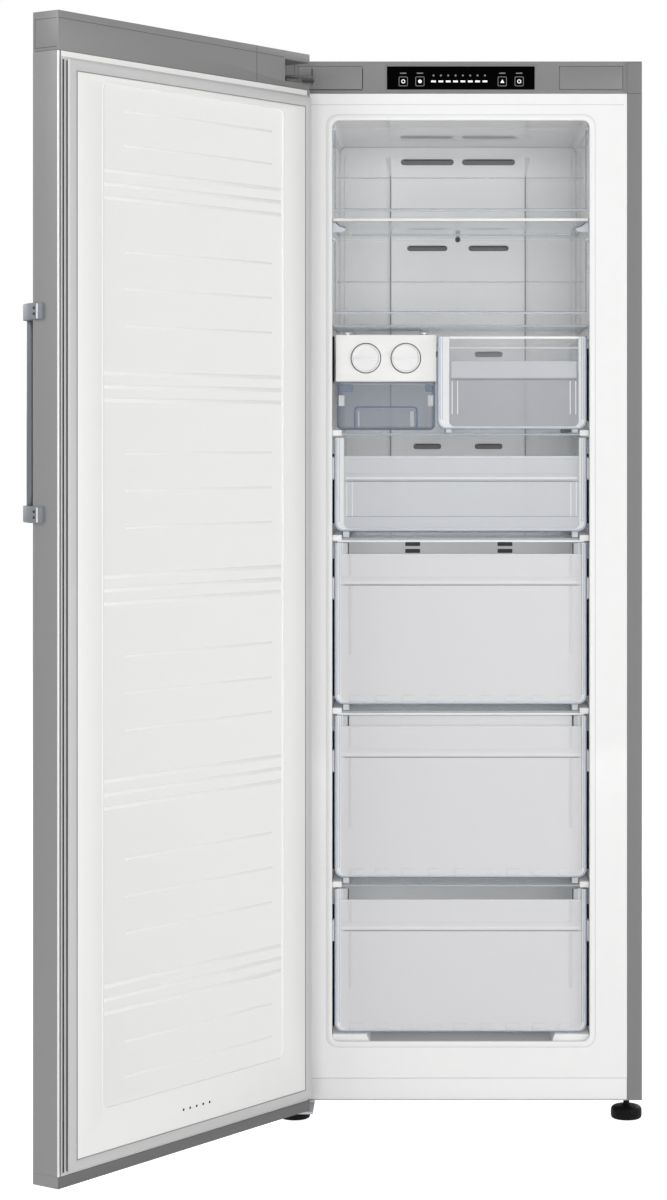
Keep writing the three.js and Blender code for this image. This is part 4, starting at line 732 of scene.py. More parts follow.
    def tub(
        self, x: Span, y: Span, z: Span, corner: float, front_drop: float = 0.0, rear_drop: float = 0.0
    ) -> Form:
        """An open tub with rounded corners and an even wall.

        Args:
            x: Across.
            y: From front to rear.
            z: From underside to rim.
            corner: Radius of its upright and lower edges.
            front_drop: How far the front wall's top stays below the rim.
            rear_drop: How far the rear wall's top stays below the rim.

        Returns:
            This form.
        """
        verts = self._cube(x, y, z)
        faces = {face for vert in verts for face in vert.link_faces}
        lid = [face for face in faces if face.calc_center_median().z > z[1] - 0.1]
        bmesh.ops.delete(self.bm, geom=lid, context="FACES_ONLY")
        edges = {edge for vert in verts for edge in vert.link_edges if len(edge.link_faces) == 2}
        round_edges(self.bm, edges, corner, 5)
        shell = list(self.bm.faces)
        for drop, way in ((front_drop, 1.0), (rear_drop, -1.0)):
            if drop > 0.0:
                shell = self._lower_end(z[1] - drop, way)
        bmesh.ops.recalc_face_normals(self.bm, faces=shell)
        bmesh.ops.solidify(self.bm, geom=shell, thickness=self.wall)
        return self

    def _lower_end(self, level: float, way: float) -> list[bmesh.types.BMFace]:
        """Lowers one end wall of an open shell, which is all that the form holds.

        Args:
            level: The wall's new top.
            way: Which end, 1 for the front and -1 for the rear.

        Returns:
            The faces that stay.
        """
        geometry = [*self.bm.faces, *self.bm.edges, *self.bm.verts]
        cut = bmesh.ops.bisect_plane(
            self.bm, geom=geometry, dist=self.touching, plane_co=(0.0, 0.0, level), plane_no=(0.0, 0.0, 1.0)
        )
        kept = [item for item in cut["geom"] if isinstance(item, bmesh.types.BMFace)]
        bmesh.ops.recalc_face_normals(self.bm, faces=kept)
        high = [face for face in kept if face.calc_center_median().z > level]
        gone = [face for face in high if abs(face.normal.y) > self.faces_end_on]
        outermost = min(way * face.calc_center_median().y for face in gone)
        gone = [f for f in gone if way * f.calc_center_median().y < outermost + self.same_wall]
        rest = [face for face in kept if face not in gone]
        bmesh.ops.delete(self.bm, geom=gone, context="FACES")
        return rest


# ---- The frame and what rides on it ----
@dataclass
class Workshop:
    """The CAD frame, its places in the scene and the finishes."""

    frame: dict[str, Any]
    cabinet: Matrix = field(init=False)
    door: Matrix = field(init=False)
    paints: dict[Paint, bpy.types.Material] = field(init=False)

    def __post_init__(self) -> None:
        """Works out the two frames and builds the finishes."""
        left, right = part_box("side_panel_left")[0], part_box("side_panel_right")[1]
        scale = Matrix.Scale(MILLIMETRE, 4)
        self.cabinet = Matrix.Translation(((left.x + right.x) / 2.0, left.y, 0.0)) @ scale
        swing = next(joint for joint in self.frame["joints"] if joint["name"] == "door_swing")
        turn = Matrix.Rotation(-math.radians(DOOR.opened), 4, "Z")
        self.door = Matrix.Translation((*swing["pos_m"][:2], 0.0)) @ turn @ scale
        self.paints = {paint: paint.value.build(paint.name.lower()) for paint in Paint}

    def keep(self, node: str, paint: Paint) -> None:
        """Gives a CAD node that stays its finish.

        Args:
            node: The node's name.
            paint: Its finish.
        """
        slots = self.frame["nodes"][node].data.materials
        slots.clear()
        slots.append(self.paints[paint])
        LOG.info("%s: %s, kept as it is", node, paint.value.slot)


@dataclass
class Assembly:
    """What all sub-assemblies share: the body that carries them, and how they hand over a piece."""

    shop: Workshop
    body: str = "cabinet"
    on_door: ClassVar[bool] = False
    smooth_below: ClassVar[float] = math.radians(32.0)
    sharp_above: ClassVar[float] = math.radians(35.0)
    flat_below: ClassVar[float] = math.radians(0.6)
    touching_metres: ClassVar[float] = 1e-6

    def add(self, name: str, form: Form, paint: Paint, stands_for: str = "", body: str = "") -> None:
        """Turns a form in millimetres into a piece, on the assembly's own body if none is given."""
        form.bm.transform(self.shop.door if self.on_door else self.shop.cabinet)
        self._piece(name, form.bm, paint, body or self.body, stands_for)

    def soften(
        self,
        node: str,
        width: float,
        paint: Paint,
        keep: Callable[[bmesh.types.BMEdge], bool] = lambda edge: True,
        segments: int = 2,
    ) -> None:
        """Replaces a CAD node by a copy of it with its sharp edges rounded.

        Args:
            node: The CAD node.
            width: The rounding, in millimetres.
            paint: Its finish.
            keep: Picks the edges to round, all sharp ones if left out.
            segments: Facets across each rounded edge.
        """
        source = self.shop.frame["nodes"][node]
        bm = bmesh.new()
        bm.from_mesh(source.data)
        bmesh.ops.remove_doubles(bm, verts=bm.verts, dist=self.touching_metres)
        bmesh.ops.dissolve_limit(bm, angle_limit=self.flat_below, verts=bm.verts, edges=bm.edges)
        folds = [edge for edge in bm.edges if len(edge.link_faces) == 2]
        sharp = [edge for edge in folds if edge.calc_face_angle(0.0) > self.sharp_above and keep(edge)]
        round_edges(bm, sharp, width * MILLIMETRE, segments)
        self._piece(f"{node}_soft", bm, paint, source["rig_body"], node)

    def _piece(self, name: str, bm: bmesh.types.BMesh, paint: Paint, body: str, stands_for: str) -> None:
        """Turns a mesh under construction into a piece of the scene.

        Args:
            name: The piece's name.
            bm: The mesh, freed afterwards.
            paint: Its finish.
            body: The body that carries it.
            stands_for: The CAD node that it takes the place of, if any.
        """
        bmesh.ops.recalc_face_normals(bm, faces=bm.faces)
        for face in bm.faces:
            face.smooth = True
        for edge in bm.edges:
            edge.smooth = len(edge.link_faces) == 2 and edge.calc_face_angle(math.pi) < self.smooth_below
        mesh = bpy.data.meshes.new(name)
        bm.to_mesh(mesh)
        bm.free()
        mesh.materials.append(self.shop.paints[paint])
        piece = bpy.data.objects.new(name, mesh)
        bpy.context.scene.collection.objects.link(piece)
        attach(piece, body)
        if stands_for:
            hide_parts(stands_for)
        LOG.info("%s: %s, on %s", name, paint.value.slot, body)


# ---- Studio ----
@dataclass
class Studio:
    """Camera, lights, floor and background."""

    shop: Workshop
    eye: Triple = (-55.5, -4661.0, 1122.0)
    lens: float = 85.2
    sensor: float = 36.0
    shift: Point = (-0.0779, -0.135)
    sight: float = 60.0
    white: float = 0.88
    sky: float = 0.14
    floor_half: float = 9.0
    floor_tones: Point = (0.68, 0.74)
    floor_cycles: float = 40.0
    floor_roughness: float = 0.9
    clear_layers: int = 40

    def build(self) -> None:
        """Sets up the whole studio."""
        self._camera()
        self._lamp("key", (0.3, -5.6, 1.25), (0.1, 0.0, 1.0), (3.4, 2.0), 160.0).visible_glossy = False
        self._lamp("left", (-1.5, -1.5, 2.3), (-0.4, -0.3, 1.2), (0.9, 0.9), 13.0)
        self._lamp("right", (3.4, -2.8, 1.5), (-0.5, -0.25, 1.0), (2.5, 2.5), 59.0)
        self._lamp("rear_right", (2.2, 3.6, 2.6), (0.1, 0.3, 0.9), (2.4, 2.0), 55.0)
        self._lamp("rear_left", (-3.2, 2.6, 2.2), (-0.2, 0.2, 0.9), (2.4, 2.0), 55.0)
        self._floor()
        self._world()
        bpy.context.scene.view_settings.view_transform = "Standard"
        bpy.context.scene.cycles.transparent_max_bounces = self.clear_layers

    def _place(self, name: str, data: bpy.types.ID) -> bpy.types.Object:
        """Puts an object into the scene.

        Args:
            name: Its name.
            data: Its mesh, light or camera.

        Returns:
            The object.
        """
        placed = bpy.data.objects.new(name, data)
        bpy.context.scene.collection.objects.link(placed)
        return placed

    def _camera(self) -> None:
        """Places the camera where the photograph was taken from."""
        data = bpy.data.cameras.new("camera")
        data.lens = self.lens
        data.sensor_width = self.sensor
        data.shift_x, data.shift_y = self.shift
        data.clip_end = self.sight
        camera = self._place("camera", data)
        camera.location = self.shop.cabinet @ Vector(self.eye)
        camera.rotation_euler = (math.pi / 2.0, 0.0, 0.0)
        bpy.context.scene.camera = camera

    def _lamp(self, name: str, place: Triple, aim: Triple, size: Point, power: float) -> bpy.types.Object:
        """Adds an area lamp.

        Args:
            name: The lamp's name.
            place: Where it stands, in metres.
            aim: The point it looks at.
            size: Its width and height.
            power: Its power in watts.

        Returns:
            The lamp's object.
        """
        data = bpy.data.lights.new(name, "AREA")
        data.shape = "RECTANGLE"
        data.size, data.size_y = size
        data.energy = power
        lamp = self._place(name, data)
        lamp.location = place
        lamp.rotation_euler = (Vector(aim) - Vector(place)).to_track_quat("-Z", "Y").to_euler()
        lamp.visible_camera = False
        return lamp

    def _floor(self) -> None:
        """Lays the floor, near white to the eye and plain for light that bounces."""
        bm = bmesh.new()
        bmesh.ops.create_grid(bm, x_segments=4, y_segments=4, size=self.floor_half)
        mesh = bpy.data.meshes.new("floor")
        bm.to_mesh(mesh)
        bm.free()
        graph = Graph(bpy.data.materials.new("studio_floor"))
        tones = [(tone,) * 3 for tone in self.floor_tones]
        colour = graph.mix(graph.noise((self.floor_cycles,) * 3), *tones)
        pale = graph.add("BsdfPrincipled", None, {"Base Color": colour, "Roughness": self.floor_roughness})
        white = graph.add("Emission", None, {"Color": (1.0, 1.0, 1.0), "Strength": self.white})
        lit = graph.add("AddShader", None, {0: white, 1: pale})
        mesh.materials.append(graph.finish(graph.add("MixShader", None, {0: graph.eye(), 1: pale, 2: lit})))
        self._place("floor", mesh)

    def _world(self) -> None:
        """Sets a soft sky that the eye, mirrors and glass see as white."""
        world = bpy.context.scene.world = bpy.data.worlds.new("studio")
        graph = Graph(world)
        soft, white = (
            graph.add("Background", None, {"Color": (1.0, 1.0, 1.0), "Strength": strength})
            for strength in (self.sky, 1.0)
        )
        graph.finish(graph.add("MixShader", None, {0: graph.eye(), 1: soft, 2: white}))


# ---- Cabinet shell ----
@dataclass
class CabinetShell(Assembly):
    """Side sheets, top, kick panel, frame and liner."""

    bead: Triple = (8.0, 4.0, 18.0)
    bead_inside: Triple = (-1.0, -5.0, 11.0)
    bead_line: Triple = (9.2, 5.2, 19.0)
    header_line: float = 1669.0
    flange: Span = (272.6, 296.0)
    flange_seam: float = 1687.4
    fascia_end: Span = (266.6, 272.0)
    fascia_top: float = 1739.0
    floor_step: tuple[Point, ...] = ((211.0, 127.2), (149.0, 127.2), (155.0, 141.6), (211.0, 141.6))
    rail: tuple[Span, Span] = ((208.6, 211.9), (26.0, 250.0))
    rail_height: float = 34.0
    # Where the black strips of painted shade beside the drawers stand: across, and in depth.
    strip: tuple[Span, Span] = ((208.5, 211.8), (31.0, 33.0))
    rib_middles: tuple[float, ...] = (-180.0, -90.0, 0.0, 90.0, 180.0)
    rear_columns: Triple = (-285.0, 0.0, 285.0)
    cover_columns: Triple = (-285.0, -20.0, 285.0)
    pin_middles: Triple = (-230.0, -223.0, -216.0)

    def build(self) -> None:
        """Builds the shell."""
        for node in ("side_panel_left", "side_panel_right"):
            self.soften(node, 1.6, Paint.SILVER, self._is_front_fold, 4)
        self.soften("top_panel", 0.3, Paint.SILVER)
        self.soften("kick_panel", 0.9, Paint.WHITE, segments=3)
        self.soften("bottom_hinge", 0.5, Paint.ZINC)
        self.soften("top_hinge", 0.5, Paint.HINGE)
        self.soften("inner_liner", 6.0, Paint.LINER, self._is_opening_edge, 6)
        self._opening()
        self._seams()
        self._wall_rails()
        self._rear_details()

    def _ends(self, edge: bmesh.types.BMEdge) -> list[Vector]:
        """An edge's ends in the cabinet's own millimetres."""
        return [self.shop.cabinet.inverted() @ vert.co for vert in edge.verts]

    def _is_front_fold(self, edge: bmesh.types.BMEdge) -> bool:
        """Tells whether an edge is one of a side sheet's upright front folds.

        Args:
            edge: The edge to judge.

        Returns:
            True for such an edge.
        """
        first, last = self._ends(edge)
        outside = abs(first.x + last.x) / 2.0 > CABINET.half_width - 0.5
        return abs(first.z - last.z) > 500.0 and (first.y + last.y) / 2.0 < 0.5 and outside

    def _is_opening_edge(self, edge: bmesh.types.BMEdge) -> bool:
        """Tells whether an edge runs round the cavity's opening.

        Args:
            edge: The edge to judge.

        Returns:
            True for such an edge.
        """
        low, high = grown((CABINET.cavity_bottom, CABINET.cavity_top), 1.0)
        half = CABINET.half_opening + 1.0
        return all(abs(p.y) < 0.2 and abs(p.x) < half and low < p.z < high for p in self._ends(edge))

    def _outline(self, out: float, below: float, radius: float) -> list[Point]:
        """The opening's outline grown out by one distance, and by another below."""
        half, low, high = CABINET.half_opening, CABINET.cavity_bottom, CABINET.cavity_top
        return rounded(grown((-half, half), out), (low - below, high + out), radius, 8)

    def _opening(self) -> None:
        """The raised bead round the opening, and thin grey lines of painted shade round it and along the
        frame's step.
        """
        outer = self._outline(*self.bead)
        bead = Form().ring(outer, self._outline(*self.bead_inside), (-0.9, 5.0), 2.6)
        self.add("opening_bead", bead, Paint.WHITE)
        lines = Form().ring(self._outline(*self.bead_line), outer, (-0.15, 0.4))
        lines.block((-268.0, 268.0), (-0.12, 0.4), band(self.header_line, 1.3))
        self.add("frame_lines", lines, Paint.LINE)

    def _seams(self) -> None:
        """The flanges' seams, the fascia's ends and the steps beside the cavity's floor."""
        seams = Form().blocks(*self.flange, (-0.14, 0.3), band(self.flange_seam, 1.0))
        self.add("flange_seams", seams, Paint.SHADOW)
        ends = Form().blocks(*self.fascia_end, (-0.25, 0.3), (self.flange_seam + 1.0, self.fascia_top))
        self.add("fascia_ends", ends, Paint.SILVER)
        steps = Form().plates(Axis.Y, self.floor_step, (10.0, 230.0), 0.8)
        self.add("floor_steps", steps, Paint.WHITE)

    def _wall_rails(self) -> None:
        """The short rails on the side walls, and black strips on the walls that paint the shade in the gaps
        beside the drawers.
        """
        rails, strips = Form(), Form()
        (near, far), depth = self.strip
        for level, height in CABINET.bays:
            top = level + CABINET.rail_share * height
            rails.blocks(*self.rail[0], self.rail[1], (top - self.rail_height, top), 1.2)
            for upright in ((level + 24.0, top - 36.0), (top + 2.0, level + height - 30.0)):
                strips.blocks(near, far, depth, upright, 0.4)
        strips.block((near, far), depth, (1150.0, 1270.0), 0.4)
        strips.block((-far, -near), depth, (1215.0, 1290.0), 0.4)
        self.add("wall_rails", rails, Paint.WHITE)
        self.add("drawer_guides", strips, Paint.BLACK)

    def _rear_details(self) -> None:
        """Ribs and screws of the rear panel, and the power inlet's pins."""
        ribs, screws, pins = Form(), Form(), Form()
        rear = CABINET.rear
        for x in self.rib_middles:
            ribs.block(band(x, 26.0), (rear + 0.2, rear + 1.4), (380.0, 1690.0), 0.6)
        rows = ((self.rear_columns, (348.0, 1040.0, 1725.0)), (self.cover_columns, (50.0, 325.0)))
        for x, z in [(x, z) for columns, heights in rows for x in columns for z in heights]:
            screws.rod(Axis.Y, (x, z), (rear, rear + 2.1), 4.5, 0.6)
        for x in self.pin_middles:
            pins.block(band(x, 2.0), (545.0, 558.0), band(70.8, 5.0), 0.6)
        self.add("rear_ribs", ribs, Paint.ZINC)
        self.add("rear_screws", screws, Paint.ZINC)
        self.add("inlet_pins", pins, Paint.ALUMINIUM)


# ---- Control fascia ----
@dataclass
class Fascia(Assembly):
    """Fascia, hinge covers, dark lens and its lights."""

    bezel: Point = (125.2, 121.3)
    key_middles: tuple[float, ...] = (-94.4, -67.1, 68.0, 95.8)
    key_size: Point = (14.6, 15.6)
    row: float = 1707.2
    dots: float = 1716.9
    dashes: float = 1720.6
    lights: tuple[float, ...] = tuple(-44.8 + 12.06 * i for i in range(8))
    printed: Span = (-0.68, -0.5)
    lit: Span = (-0.72, -0.5)

    def build(self) -> None:
        """Builds the fascia."""
        self.soften("control_fascia", 0.7, Paint.GREY)
        self.soften("hinge_cover_left", 0.9, Paint.GREY)
        self.soften("hinge_cover_right", 0.9, Paint.GREY)
        self.soften("control_lens", 0.4, Paint.LENS)
        self._bezel()
        self._keys()
        self._lights()

    def _bezel(self) -> None:
        """The lens's frame, and dark strips of painted shade beside and on the left hinge cover."""
        (low, high), (outside, inside) = CABINET.window, self.bezel
        outer = rounded((-outside, outside), (low - 3.6, high + 3.4), 2.0, 3)
        inner = rounded((-inside, inside), grown(CABINET.window, 0.2), 1.0, 3)
        self.add("lens_bezel", Form().ring(outer, inner, (-0.5, 1.0), 0.45), Paint.BEZEL)
        shade = Form().block((-161.9, -160.6), (-0.6, 0.4), (1695.4, 1728.0), 0.2)
        shade.block((-265.0, -161.0), (-0.6, 0.4), (1692.6, 1693.9), 0.2)
        shade.block(band(-244.0, 2.2), (-1.4, 0.2), (1701.5, 1728.0), 0.3)
        self.add("hinge_cover_shade", shade, Paint.GAP)

    def _keys(self) -> None:
        """The touch keys' outlines, the dashes above them and the dots above the lights."""
        keys = Form()
        for middle in self.key_middles:
            across, upright = band(middle, self.key_size[0]), band(self.row, self.key_size[1])
            keys.frame(across, upright, (0.0, -0.8), (2.0, 1.3), self.printed, steps=4)
            keys.block(band(middle, 10.4), self.printed, band(self.dashes, 1.5))
        for x in self.lights:
            keys.rod(Axis.Y, (x, self.dots), self.printed, 1.5, sides=16)
        self.add("lens_keys", keys, Paint.KEY)

    def _lights(self) -> None:
        """The row of lights and the plain signs inside the keys."""
        form = Form()
        for x in self.lights:
            form.block(band(x, 7.6), self.lit, band(self.row, 2.8), 0.08, 1)
        first, second, third, fourth = self.key_middles
        for middle in (first, fourth):
            ring = (band(middle, 6.4), band(self.row, 6.4))
            form.frame(*ring, (0.0, -1.0), (3.2, 2.2), self.lit, steps=5)
        form.rod(Axis.Y, (second, self.row), self.lit, 3.1, sides=6)
        arrow = ((-3.2, -2.4), (3.2, -2.4), (0.4, 3.2))
        form.plate(Axis.Y, [(third + across, self.row + up) for across, up in arrow], self.lit)
        self.add("lens_lights", form, Paint.LED)


# ---- Rear duct ----
@dataclass
class Duct(Assembly):
    """Details of the duct cover and the evaporator cover.

    Each row of slots is given by their width, their height and the row's level.
    """

    shoulder: float = 119.0
    wall: float = 440.4
    foot: float = 958.0
    slot_middle: float = 55.0
    vents: tuple[float, ...] = (-150.0, -75.0, 0.0, 75.0, 150.0)
    sensor: Point = (-0.3, 1477.5)
    rows: tuple[Triple, ...] = (
        (95.0, 11.0, 1616.4), (72.0, 10.0, 1462.0), (50.0, 10.0, 1272.0), (50.0, 10.0, 1107.0),
    )

    def build(self) -> None:
        """Builds the details on the two covers."""
        self._shoulders()
        self._seams()
        self._slots()
        self._vents()

    def _shoulders(self) -> None:
        """The slopes beside the duct's upper end, which run out towards their feet."""
        slope = [(self.shoulder, 430.7), (self.shoulder + 11.0, self.wall), (self.shoulder, self.wall)]
        form = Form().plates(Axis.Z, slope, (1588.0, 1624.6))
        for vert in form.bm.verts:
            if vert.co.z < 1600.0:
                reach = abs(vert.co.x) - self.shoulder
                vert.co.x = math.copysign(self.shoulder + 0.12 * reach, vert.co.x)
        self.add("duct_shoulders", form, Paint.COOL)

    def _seams(self) -> None:
        """Grey strips of painted shade in the grooves beside the duct's raised panel, and the beads in the
        cavity's corners.
        """
        seams, beads = Form(), Form()
        for side in SIDES:
            seams.block(band(side * 120.6, 1.9), (434.0, self.wall), (self.foot, 1622.0))
            beads.block(band(side * 202.4, 3.0), (438.6, self.wall + 0.1), (self.foot, 1628.0), 0.9)
        self.add("duct_seams", seams, Paint.SEAM)
        self.add("duct_corner_beads", beads, Paint.WHITE)

    def _slots(self) -> None:
        """The four rows of air slots: their lips, paler than the cover as a painted highlight, sloping
        baffles in dark grey as painted shade inside, and painted shade along their upper edges.
        """
        lips, baffles, shades = Form(), Form(), Form()
        for width, height, z in self.rows:
            radius = height / 2.0
            slope = [(433.6, z - height), (446.0, z + height), (447.0, z + height), (434.6, z - height)]
            for side in SIDES:
                across = band(side * self.slot_middle, width)
                radii = (radius + 1.5, radius - 0.05)
                lips.frame(across, band(z, height), (1.6, 0.0), radii, (430.1, 431.4), 0.4)
                baffles.plate(Axis.X, slope, across)
                edge = (z + radius - 3.0, z + radius - 0.2)
                shades.block(grown(across, -radius), (432.2, 433.2), edge, 0.2)
        # The lips take the paler white: a painted highlight round each slot.
        self.add("duct_slot_lips", lips, Paint.DOOR_WHITE)
        self.add("duct_slot_baffles", baffles, Paint.BAFFLE)
        self.add("duct_slot_shades", shades, Paint.SHADOW)

    def _vents(self) -> None:
        """Dark plates of painted shade behind the evaporator cover's vents, and the temperature sensor's
        cap.
        """
        form, y = Form(), (297.5, 298.5)
        for side in SIDES:
            form.block(band(side * 80.5, 32.0), y, (915.0, 945.0))
        for x in self.vents:
            form.block(band(x, 66.0), y, band(408.0, 12.0))
        self.add("evaporator_baffles", form, Paint.SHADOW)
        cap = Form().rod(Axis.Y, self.sensor, (427.0, CABINET.duct_face), 4.6, 0.8, 32)
        self.add("air_sensor", cap, Paint.BLACK)


# ---- Shelves ----
class Trim(Enum):
    """How a shelf's front edge is finished."""

    BRIGHT = "bright"
    THIN = "thin"
    DEEP = "deep"


@dataclass
class Shelf(Assembly):
    """One glass shelf."""

    number: int = 1
    level: float = 0.0
    trim: Trim = Trim.THIN
    glass: float = 4.0
    half: float = 215.2
    front: float = 24.0
    from_rear: float = 0.6
    block: Span = (196.0, 211.6)
    last_deep: ClassVar[int] = 3
    first_on_blocks: ClassVar[int] = 3

    def build(self) -> None:
        """Builds the pane with its ground edge, its trim and its end blocks."""
        name = f"glass_shelf_{self.number}"
        face = CABINET.duct_face if self.number <= self.last_deep else CABINET.hump_face
        depth, height = (self.front, face - self.from_rear), (self.level - self.glass, self.level)
        pane = Form().block((-self.half, self.half), depth, height, 0.7, 2)
        self.add(f"{name}_pane", pane, Paint.GLASS, name)
        self._trim()
        if self.number >= self.first_on_blocks:
            self._blocks()

    def _trim(self) -> None:
        """The trim along the front edge."""
        half, y, z, bevel, paint = {
            Trim.BRIGHT: (210.5, (-2.6, 1.4), (-5.2, -0.6), 1.0, Paint.WHITE),
            Trim.DEEP: (204.0, (-2.4, -0.2), (-6.6, -3.2), 0.9, Paint.WHITE),
            Trim.THIN: (209.0, (-1.4, -0.1), (0.4 - self.glass, -0.8), 0.5, Paint.GLASS_EDGE),
        }[self.trim]
        self.add(f"shelf_trim_{self.number}", self._bar(half, y, z, bevel), paint)
        if self.trim is Trim.DEEP:
            line = self._bar(half, (-1.2, -0.1), (-3.0, -0.2), 0.4)
            self.add(f"shelf_line_{self.number}", line, Paint.GLASS_EDGE)

    def _bar(self, half: float, y: Span, z: Span, bevel: float) -> Form:
        """A bar across the front edge, placed from that edge and from the glass's upper face."""
        depth = (self.front + y[0], self.front + y[1])
        return Form().block((-half, half), depth, (self.level + z[0], self.level + z[1]), bevel)

    def _blocks(self) -> None:
        """The blocks that hold the pane at both ends."""
        top = self.level + 5.4
        form = Form().blocks(*self.block, (17.5, 23.4), (self.level - 4.6, top), 1.6)
        form.blocks(*self.block, (22.0, 200.0), (self.level + 0.2, top), 1.4)
        self.add(f"shelf_blocks_{self.number}", form, Paint.WHITE)


@dataclass
class Shelves(Assembly):
    """The six glass shelves, from the top down, and the top one's raised front lip."""

    levels: tuple[float, ...] = (1485.0, 1309.0, 1130.0, 957.0, 672.0, 386.0)
    trims: tuple[Trim, ...] = (Trim.BRIGHT, Trim.THIN, Trim.THIN, Trim.DEEP, Trim.DEEP, Trim.THIN)

    def build(self) -> None:
        """Builds all shelves."""
        for number, (level, trim) in enumerate(zip(self.levels, self.trims), 1):
            Shelf(self.shop, self.body, number, level, trim).build()
        top = self.levels[0]
        outline = [(-181.0, top - 27.0), (181.0, top - 27.0), (188.0, top - 6.0), (-188.0, top - 6.0)]
        self.add("shelf_lip", Form().plate(Axis.Y, outline, (34.0, 37.0), 0.8), Paint.GLASS)
        rim = Form().block((-180.0, 180.0), (33.0, 37.6), (top - 28.4, top - 26.0), 0.9)
        self.add("shelf_lip_edge", rim, Paint.GLASS_EDGE)


# ---- Flaps ----
@dataclass
class Flap(Assembly):
    """One clear flap, hanging from its pivot line."""

    name: str = ""
    pivot: float = 0.0
    height: float = 0.0
    fold: float = 0.0
    setback: float = 40.0
    half: float = 208.0
    half_thick: float = 1.4
    strip_share: float = 0.6
    pin: Span = (206.0, 214.5)

    def build(self) -> None:
        """Builds the flap with its frame, folds and pins."""
        low, high = self.pivot - self.height, self.pivot - 4.0
        y, wide = self.setback, (-self.half, self.half)
        skin = y - self.half_thick - 0.05
        face = (y - 2.9, skin)
        pane = Form().block(grown(wide, 0.6), band(y, 2.0 * self.half_thick), (low + 3.2, high + 5.0), 0.9)
        self._piece_of("pane", pane, Paint.CLEAR_THIN, self.name)
        lip = Form().block(wide, (y - 10.2, y + self.half_thick), (low + 0.4, low + 2.9), 0.8)
        self._piece_of("lip", lip, Paint.CLEAR_EDGE)
        lines = Form().block(grown(wide, -4.0), (y - 2.2, skin), band(self.pivot - self.fold, 1.5), 0.3)
        lines.blocks(206.6, 208.5, face, (low + 3.0, high), 0.6)
        lines.block(wide, (y - 1.9, skin), (low + 3.0, low + 4.6), 0.2)
        self._piece_of("lines", lines, Paint.FLAP_LINE)
        strips = Form().blocks(200.5, 206.4, face, (self.pivot - self.height * self.strip_share, high), 0.6)
        strips.rod(Axis.X, (y, self.pivot), grown(wide, -1.0), 2.4, 0.4)
        self._piece_of("strips", strips, Paint.CLEAR_THIN)
        pins = Form()
        for side in SIDES:
            pins.rod(Axis.X, (y, self.pivot), tuple(sorted(side * end for end in self.pin)), 3.4, 0.5)
        self._piece_of("pins", pins, Paint.CLEAR_EDGE)

    def _piece_of(self, name: str, form: Form, paint: Paint, stands_for: str = "") -> None:
        """Adds a piece named after the flap."""
        self.add(f"{self.name}_{name}", form, paint, stands_for)


@dataclass
class Flaps(Assembly):
    """The two clear flaps, the blocks that hold the lower one's pins, and dark lines of painted shade along
    the blocks' upper edges.
    """

    block: tuple[Point, ...] = (
        (211.4, 1462.0), (194.0, 1462.0), (190.0, 1465.0), (190.0, 1469.0),
        (199.0, 1471.5), (206.0, 1477.5), (211.4, 1477.5),
    )
    # The dark line of painted shade along each block's upper edge.
    gap: tuple[Point, ...] = (
        (190.0, 1469.8), (198.8, 1472.4), (205.6, 1478.4),
        (207.6, 1478.4), (200.0, 1471.4), (190.0, 1468.6),
    )

    def build(self) -> None:
        """Builds both flaps and the blocks."""
        Flap(self.shop, "upper_flap", "flap_upper", 1634.0, 137.0, 82.0).build()
        Flap(self.shop, "lower_flap", "flap_lower", 1451.0, 124.0, 71.0).build()
        self.add("flap_blocks", Form().plates(Axis.Y, self.block, (26.0, 33.0), 1.2), Paint.CLEAR_EDGE)
        self.add("flap_block_gaps", Form().plates(Axis.Y, self.gap, (25.4, 26.4)), Paint.GAP)


